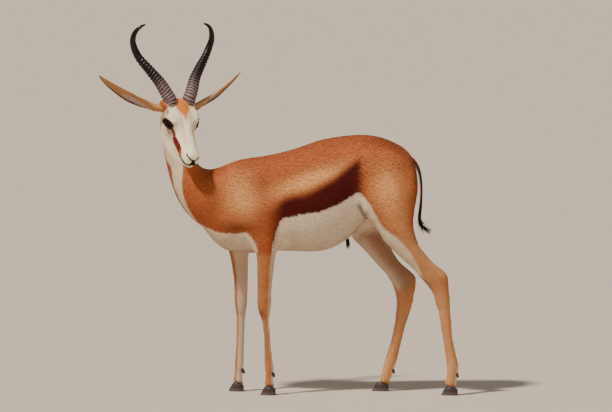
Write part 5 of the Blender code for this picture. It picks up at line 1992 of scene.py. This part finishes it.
@dataclass
class Eye:
    """Eyeball with a dark iris and a level pupil, and the lids round it."""

    side: float
    word: str
    radius: float = 0.0158
    rows: int = 28
    columns: int = 40
    bulge: float = 0.0009
    iris: float = 0.66
    pupil: tuple[float, float] = (0.42, 0.2)
    lid_points: int = 56
    lid_profile: Rows = (
        (0.97, -0.0004), (0.99, 0.0012), (1.05, 0.0021), (1.16, 0.0024), (1.32, 0.002), (1.55, 0.0008),
        (1.5, -0.0022), (1.1, -0.0022),
    )
    lash_proud: float = 0.0018

    def centre(self) -> Vector:
        """Centre of the eyeball."""
        return Vector(eye_centre(self.side))

    def ball(self) -> bpy.types.Object:
        """Eyeball with its cornea, and its colours stored.

        Returns:
            The eyeball.
        """
        look, along, high = eye_axes(self.side)
        points, colours = [], []
        for row in range(1, self.rows):
            angle = math.pi * row / self.rows
            reach = self.radius + self.bulge * math.exp(-(angle / 0.55) ** 2)
            for column in range(self.columns):
                turn = math.tau * column / self.columns
                a, b = math.sin(angle) * math.cos(turn), math.sin(angle) * math.sin(turn)
                points.append(self.centre() + (look * math.cos(angle) + along * a + high * b) * reach)
                pupil = abs(a / self.pupil[0]) ** 3 + abs(b / self.pupil[1]) ** 3
                colour = srgb(40, 22, 14) if math.hypot(a, b) < self.iris else srgb(22, 13, 11)
                colours.append(srgb(7, 6, 7) if pupil < 1.0 else colour)
        faces = ring_faces(self.rows - 1, self.columns)
        points.append(self.centre() + look * (self.radius + self.bulge))
        points.append(self.centre() - look * self.radius)
        colours += [srgb(8, 7, 8), srgb(30, 18, 15)]
        last = (self.rows - 2) * self.columns
        for column in range(self.columns):
            after = (column + 1) % self.columns
            faces.append((column, after, len(points) - 2))
            faces.append((last + column, last + after, len(points) - 1))
        item = mesh_object(f"eyeball_{self.word}", points, faces)
        face_outward(item)
        store(item.data, "iris", "FLOAT_COLOR", np.array(colours))
        smooth_shade(item)
        return item

    def lids(self) -> bpy.types.Object:
        """Closed band of lid skin round the opening.

        Returns:
            The lids.
        """
        look, along, high = eye_axes(self.side)
        centre = self.centre()
        rings, count = [], self.lid_points
        for scale, proud in self.lid_profile:
            ring = []
            for k in range(count):
                angle = math.tau * k / count
                c, s = math.cos(angle), math.sin(angle)
                reach = self.edge(c, s)
                a, b = c * reach * LID_LENGTH * scale, s * reach * LID_HEIGHT * scale
                depth = math.sqrt(max((self.radius + proud) ** 2 - a * a - b * b, 0.0000145))
                ring.append(centre + look * depth + along * a + high * b)
            rings.append(ring)
        points = [point for ring in rings for point in ring]
        item = mesh_object(f"eyelids_{self.word}", points, ring_faces(len(rings), count, True))
        face_outward(item)
        dark, outer = Shade.LIP.array, Shade.DARK.array
        paint(item, np.repeat(np.array([dark] * 4 + [outer] * 3 + [dark]), count, 0), FACE_RUN)
        return item

    def lashes(self, count: int = 46) -> Roots:
        """Roots of the dark lashes along the upper lid.

        Args:
            count: Number of lashes.

        Returns:
            The roots.
        """
        random = np.random.default_rng(SEED + 7)
        look, along, high = (np.array(axis) for axis in eye_axes(self.side))
        angle = np.linspace(0.14, 0.9, count) * math.pi + random.normal(0.0, 0.02, count)
        reach = np.array([self.edge(math.cos(turn), math.sin(turn)) for turn in angle]) * 1.03
        a, b = np.cos(angle) * reach * LID_LENGTH, np.sin(angle) * reach * LID_HEIGHT
        depth = np.sqrt(np.maximum((self.radius + self.lash_proud) ** 2 - a * a - b * b, 0.00001))
        place = eye_centre(self.side) + look * depth[:, None] + along * a[:, None] + high * b[:, None]
        lie = unit(look * 0.85 + high * 0.45 + along * (np.cos(angle) * 0.5)[:, None]
                   + random.normal(0.0, 0.08, (count, 3)))
        stand = unit(-high - lie * np.sum(-high * lie, 1)[:, None])
        size = sizes(0.0006, 0.0004, random.uniform(0.005, 0.008, count))
        run = np.tile(FACE_RUN, (count, 1))
        patch = np.stack([np.linspace(0.05, 0.95, count), np.full(count, 0.5)], 1)
        return Roots(place, lie, stand, size, np.tile(Shade.LIP.array, (count, 1)), run, patch)

    @staticmethod
    def edge(c: float, s: float) -> float:
        """Distance to the edge of the opening in a direction.

        Args:
            c: Part of the direction along the eye.
            s: Part of it upwards.

        Returns:
            The distance as a share of half the opening.
        """
        low, high = 0.3, 1.6
        for _ in range(24):
            middle = (low + high) / 2.0
            if abs(c * middle) ** 2.0 + abs(s * middle) ** 1.7 < 1.0:
                low = middle
            else:
                high = middle
        return (low + high) / 2.0


@dataclass(frozen=True)
class PaintedFinish:
    """Plain finish whose colour is stored on the piece, with fine grain and its own gloss."""

    name: str
    colour_name: str
    roughness: float
    specular: float
    grain: float
    bump: float

    def build(self) -> bpy.types.Material:
        """Make the material.

        Returns:
            The material.
        """
        material, nodes, shader = start_material(self.name, {
            "Roughness": self.roughness, "Specular IOR Level": self.specular, "Coat Roughness": 0.04,
        })
        noise = nodes.noise(nodes.place(), self.grain, 4.0)
        shade = nodes.math("MULTIPLY_ADD", noise, 0.5, 0.75)
        colour = nodes.mix(1.0, nodes.attribute(self.colour_name, "Color"), shade, "MULTIPLY")
        nodes.feed(shader, {"Base Color": colour, "Normal": nodes.bump(noise, 0.4, self.bump)})
        return material


@dataclass(frozen=True)
class HoofFinish:
    """Dark keratin with level growth lines, paler and scuffed near the ground."""

    name: str = "hoof keratin"

    def build(self) -> bpy.types.Material:
        """Make the material.

        Returns:
            The material.
        """
        material, nodes, shader = start_material(self.name, {"Roughness": 0.42})
        place = nodes.place()
        level = nodes.get("ShaderNodeMapping", {"Vector": place, "Scale": (40.0, 40.0, 420.0)})
        lines = nodes.noise(level, 1.0, 3.0)
        height = nodes.get("ShaderNodeSeparateXYZ", {0: place}, "Z")
        scuff = nodes.math("MULTIPLY", nodes.span(height, 0.014, 0.0), lines)
        colour = nodes.mix(scuff, (*srgb(52, 38, 42), 1.0), (*srgb(128, 106, 100), 1.0))
        nodes.feed(shader, {"Base Color": colour, "Normal": nodes.bump(lines, 0.5, 0.0007)})
        return material


@dataclass
class Tail:
    """Thin tail with a brush of long dark hair."""

    around: int = 14
    hairs: int = 560
    brush_start: float = 0.575

    def core(self) -> bpy.types.Object:
        """Skin of the tail.

        Returns:
            The skin.
        """
        rows = smooth_rows(TAIL_LINE, 4)
        rings = []
        for index, (x, z, radius) in enumerate(rows):
            before, after = rows[max(index - 1, 0)], rows[min(index + 1, len(rows) - 1)]
            along = Vector((after[0] - before[0], 0.0, after[1] - before[1])).normalized()
            cross = Vector((0.0, 1.0, 0.0)).cross(along)
            size = radius * 0.8
            rings.append([
                Vector((x, 0.0, z)) + ORIGIN + cross * math.cos(math.tau * k / self.around) * size
                + Vector((0.0, 1.0, 0.0)) * math.sin(math.tau * k / self.around) * size * 0.92
                for k in range(self.around)
            ])
        item = loft("tail_core", rings)
        points = points_of(item.data)
        paint(item, self.shades(points, normals_of(item.data)), COLUMN_RUN)
        return item

    @staticmethod
    def shades(points: np.ndarray, normals: np.ndarray) -> np.ndarray:
        """Colours of the tail: dark outside and at the brush, paler on its rump side near the root.

        Args:
            points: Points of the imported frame.
            normals: Outward normals there.

        Returns:
            One colour for each point.
        """
        z = points[:, 2]
        colour = np.tile(Shade.DARK.array, (len(points), 1))
        pale = step(0.6, 0.66, z) * step(-0.1, -0.6, normals[:, 0])
        colour = Markings.mix(colour, Shade.WHITE, pale * 0.8)
        return Markings.mix(colour, Shade.RUST, step(0.72, 0.76, z) * 0.6)

    def roots(self) -> Roots:
        """Roots of the hair on the tail.

        Returns:
            The roots.
        """
        random = np.random.default_rng(SEED + 1)
        rows = smooth_rows(TAIL_LINE, 6)
        share = random.random(self.hairs) ** 0.8
        x, z, radius, dx, dz = (
            np.interp(share * (len(rows) - 1), np.arange(len(rows)), column)
            for column in (*rows.T, np.gradient(rows[:, 0]), np.gradient(rows[:, 1]))
        )
        radius = radius * 0.75
        way = unit(np.stack([dx, np.zeros(self.hairs), dz], 1))
        turn = random.random(self.hairs) * math.tau
        cross = np.stack([-way[:, 2], np.zeros(self.hairs), way[:, 0]], 1)
        stand = cross * np.cos(turn)[:, None] + np.array((0.0, 1.0, 0.0)) * np.sin(turn)[:, None]
        place = np.stack([x, np.zeros(self.hairs), z], 1) + np.array(ORIGIN) + stand * (radius * 0.8)[:, None]
        brush = step(self.brush_start + 0.015, self.brush_start - 0.02, z)
        swing = (random.random(self.hairs) ** 1.6 * brush)[:, None]
        lie = way * (1.0 - swing) + np.array((1.0, 0.0, -0.3)) * swing
        lie = unit(lie + stand * (0.06 + 0.1 * brush)[:, None])
        length = 0.012 + brush * random.uniform(0.012, 0.03, self.hairs)
        size = sizes(0.0015 + 0.0007 * brush, 0.0006 + 0.0003 * brush, length)
        colour = self.shades(place, stand) * random.normal(1.0, 0.12, (self.hairs, 1)).clip(0.6, 1.5)
        run = np.tile(COLUMN_RUN, (self.hairs, 1))
        patch = np.stack([turn / math.tau * 0.99, share * 0.99], 1)
        return Roots(place, lie, stand, size, colour, run, patch)


@dataclass
class Sheath:
    """Small dark sheath under the belly with its hanging tuft."""

    centre: tuple[float, float, float] = (0.1545, 0.0, 0.4975)
    radii: tuple[float, float, float] = (0.0058, 0.005, 0.019)
    hairs: int = 90

    def core(self) -> bpy.types.Object:
        """Skin of the sheath.

        Returns:
            The skin.
        """
        turn = Matrix.Rotation(math.radians(-14.0), 3, "Y")
        item = ellipsoid("sheath_core", Vector(self.centre) + ORIGIN, self.radii, turn)
        paint(item, np.tile(Shade.DARK.array, (len(item.data.vertices), 1)), COLUMN_RUN)
        return item

    def roots(self) -> Roots:
        """Roots of the hanging hair.

        Returns:
            The roots.
        """
        random = np.random.default_rng(SEED + 2)
        turn = random.random(self.hairs) * math.tau
        rise = random.uniform(-0.9, 0.4, self.hairs)
        wide = np.sqrt(1.0 - rise ** 2)
        stand = unit(np.stack([wide * np.cos(turn), wide * np.sin(turn), rise * 0.3], 1))
        bulge = np.stack([wide * np.cos(turn), wide * np.sin(turn), rise], 1)
        place = np.array(self.centre) + np.array(ORIGIN) + bulge * np.array(self.radii) * 0.9
        lie = unit(np.array((0.16, 0.0, -1.0)) + stand * 0.1 + random.normal(0.0, 0.07, (self.hairs, 3)))
        size = sizes(0.0015, 0.0006, random.uniform(0.01, 0.019, self.hairs))
        colour = Shade.DARK.array * random.normal(1.0, 0.15, (self.hairs, 1)).clip(0.6, 1.6)
        run = np.tile(COLUMN_RUN, (self.hairs, 1))
        return Roots(place, lie, stand, size, colour, run, np.stack([turn / 6.3 * 0.9, (rise + 1.0) * 0.45], 1))


@dataclass
class Hooves:
    """Cloven hooves and spare claws, smoothed from their solids."""

    feet: tuple[str, ...] = ("front_left", "front_right", "hind_left", "hind_right")

    def build(self, nodes: dict[str, bpy.types.Object], foot: str) -> tuple[bpy.types.Object, list[str]]:
        """Join and smooth the claws of one foot.

        Args:
            nodes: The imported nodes.
            foot: Which foot.

        Returns:
            The piece and the nodes it stands for.
        """
        names = [f"{kind}_{foot}_{side}" for kind in ("hoof", "dewclaw") for side in ("inner", "outer")]
        items = []
        for name in names:
            copy = node_copy(nodes[name])
            with edited(copy.data) as shape:
                bmesh.ops.dissolve_limit(shape, angle_limit=math.radians(1.0), verts=shape.verts, edges=shape.edges)
            if name.startswith("hoof"):
                bevel = copy.modifiers.new("edge", "BEVEL")
                bevel.width = 0.0009
                bevel.segments = 3
                bevel.limit_method = "ANGLE"
                bevel.angle_limit = math.radians(35.0)
            else:
                rounding = copy.modifiers.new("round", "SUBSURF")
                rounding.levels = rounding.render_levels = 2
            settle(copy)
            items.append(copy)
        piece = join(f"hooves_{foot}", items)
        smooth_shade(piece)
        piece.data.set_sharp_from_angle(angle=math.radians(40.0))
        return piece, names


@dataclass
class Studio:
    """Pale floor, soft lights and the camera."""

    distance: float = 20.0
    elevation: float = math.radians(4.3)
    aim: Vector = field(default_factory=lambda: Vector((0.0195, 0.0, 0.611)) + ORIGIN)
    lens: float = 362.0
    floor_half: float = 120.0

    def floor(self) -> bpy.types.Object:
        """Wide pale floor with a faint grain.

        Returns:
            The floor.
        """
        half = self.floor_half
        item = mesh_object("floor", [
            (-half, -half, 0.0), (half, -half, 0.0), (half, half, 0.0), (-half, half, 0.0),
        ], [(0, 1, 2, 3)])
        material, nodes, shader = start_material("floor plaster", {"Roughness": 0.9})
        tones = (*srgb(196, 184, 168), 1.0), (*srgb(203, 191, 176), 1.0)
        nodes.feed(shader, {"Base Color": nodes.mix(nodes.noise(nodes.place(), 6.0), *tones)})
        item.data.materials.append(material)
        return item

    def light(self, name: str, place: Sequence[float], size: float, power: float, colour: Colour) -> None:
        """Square area light that faces the animal.

        Args:
            name: Name of the light.
            place: Where it stands.
            size: Its width.
            power: Its power in watts.
            colour: Its colour.
        """
        data = bpy.data.lights.new(name, "AREA")
        data.energy, data.size, data.color = power, size, colour
        lamp = new_object(name, data)
        lamp.location = place
        lamp.rotation_euler = (Vector((0.0, 0.0, 0.6)) - Vector(place)).to_track_quat("-Z", "Y").to_euler()
        lamp.visible_glossy = False

    def lights(self) -> None:
        """High soft key from the front left, a wide fill and a pale surround."""
        sun = bpy.data.lights.new("key", "SUN")
        sun.energy, sun.angle, sun.color = 4.4, math.radians(5.0), (1.0, 0.94, 0.85)
        lamp = new_object("key", sun)
        lamp.rotation_euler = Vector((0.44, 0.34, -0.83)).to_track_quat("-Z", "Y").to_euler()
        self.light("fill", (3.4, -4.6, 2.2), 3.5, 50.0, (1.0, 0.95, 0.9))
        world = bpy.data.worlds.new("surround")
        world.use_nodes = True
        ground = world.node_tree.nodes["Background"]
        NodeBuilder(world.node_tree).feed(ground, {"Color": (1.0, 0.96, 0.91, 1.0), "Strength": 0.28})
        bpy.context.scene.world = world

    def camera(self) -> None:
        """Long lens from the left side, a little above the back."""
        data = bpy.data.cameras.new("camera")
        data.lens = self.lens
        data.sensor_width = 36.0
        data.clip_end = 400.0
        item = new_object("camera", data)
        back = Vector((0.0, -math.cos(self.elevation), math.sin(self.elevation)))
        item.location = self.aim + back * self.distance
        item.rotation_euler = (-back).to_track_quat("-Z", "Y").to_euler()
        bpy.context.scene.camera = item


def fit(item: bpy.types.Object, finish: bpy.types.Material, slot: str) -> None:
    """Give a piece its finish and its body, and report it.

    Args:
        item: The piece.
        finish: Its material.
        slot: Name of its slot; not used.
    """
    item.data.materials.clear()
    item.data.materials.append(finish)
    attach(item, "root")
    item.data.calc_loop_triangles()
    LOG.info("%s: %d triangles", item.name, len(item.data.loop_triangles))


def dress_coat(skin: bpy.types.Object, tree: bpy.types.NodeTree, finish: bpy.types.Material) -> None:
    """Grow the coat over the skin, one piece for each zone.

    Args:
        skin: The finished skin.
        tree: The tuft tree.
        finish: Material of the tufts.
    """
    coat = Coat()
    roots = coat.scatter(skin)
    slots = {Zone.HEAD: "face_coat", Zone.FORELEGS: "leg_coat", Zone.HINDLEGS: "leg_coat"}
    for zone, keep in coat.zones(roots).items():
        piece = roots.part(keep).grow("coat_" + zone.value, tree, finish)
        fit(piece, finish, slots.get(zone, "coat"))


def dress_ears(tree: bpy.types.NodeTree, finish: bpy.types.Material, tufts: bpy.types.Material) -> None:
    """Build both ears with their short hair.

    Args:
        tree: The tuft tree.
        finish: Material of the ears' skin.
        tufts: Material of their hair.
    """
    for side, word in SIDES:
        ear = Ear(side, word)
        item, facts = ear.build()
        fit(item, finish, "ear_skin")
        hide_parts("ear_" + word)
        fit(ear.hair(item, facts).grow("ear_hair_" + word, tree, tufts, 0.1), tufts, "ear_skin")


def main() -> None:
    """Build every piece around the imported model."""
    logging.basicConfig(level=logging.INFO, format="%(message)s", stream=sys.stdout)
    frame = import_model()
    nodes = frame["nodes"]
    studio = Studio()
    studio.camera()
    studio.lights()
    studio.floor()

    grain = hair_grain_group()
    skin_finish = HairFinish("skin coat", "coat_colour", grain).build()
    tuft_finish = HairFinish("tuft coat", "tint", grain, bump=0.0004, strength=0.3, root_shade=0.28).build()
    tree = tuft_tree()

    maker = Skin()
    skin = maker.make(nodes)
    maker.mark(skin)
    fit(skin, skin_finish, "coat")
    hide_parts("torso", "neck", "head", "leg_front_left", "leg_front_right", "leg_hind_left", "leg_hind_right")
    dress_coat(skin, tree, tuft_finish)

    eye_finish = PaintedFinish("eye", "iris", 0.05, 0.12, 900.0, 0.00002).build()
    for side, word in SIDES:
        eye = Eye(side, word)
        ball = eye.ball()
        fit(ball, eye_finish, "eye")
        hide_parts("eye_" + word)
        fit(eye.lids(), skin_finish, "face_coat")
        fit(eye.lashes().grow("eyelashes_" + word, tree, tuft_finish, -0.35), tuft_finish, "face_coat")

    horn_finish = HornFinish().build()
    for side, word in SIDES:
        horn = Horn(side, word).build()
        fit(horn, horn_finish, "horn")
        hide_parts("horn_" + word)
    dress_ears(tree, skin_finish, tuft_finish)

    tail = Tail()
    core = tail.core()
    fit(core, skin_finish, "dark_hair")
    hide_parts("tail")
    brush = tail.roots().grow("tail_hair", tree, tuft_finish, 0.1)
    fit(brush, tuft_finish, "dark_hair")

    sheath = Sheath()
    core = sheath.core()
    fit(core, skin_finish, "dark_hair")
    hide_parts("sheath")
    fit(sheath.roots().grow("sheath_hair", tree, tuft_finish, 0.1), tuft_finish, "dark_hair")

    hoof_finish = HoofFinish().build()
    hooves = Hooves()
    for foot in hooves.feet:
        piece, names = hooves.build(nodes, foot)
        fit(piece, hoof_finish, "hoof")
        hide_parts(*names)


if __name__ == "__main__":
    main()
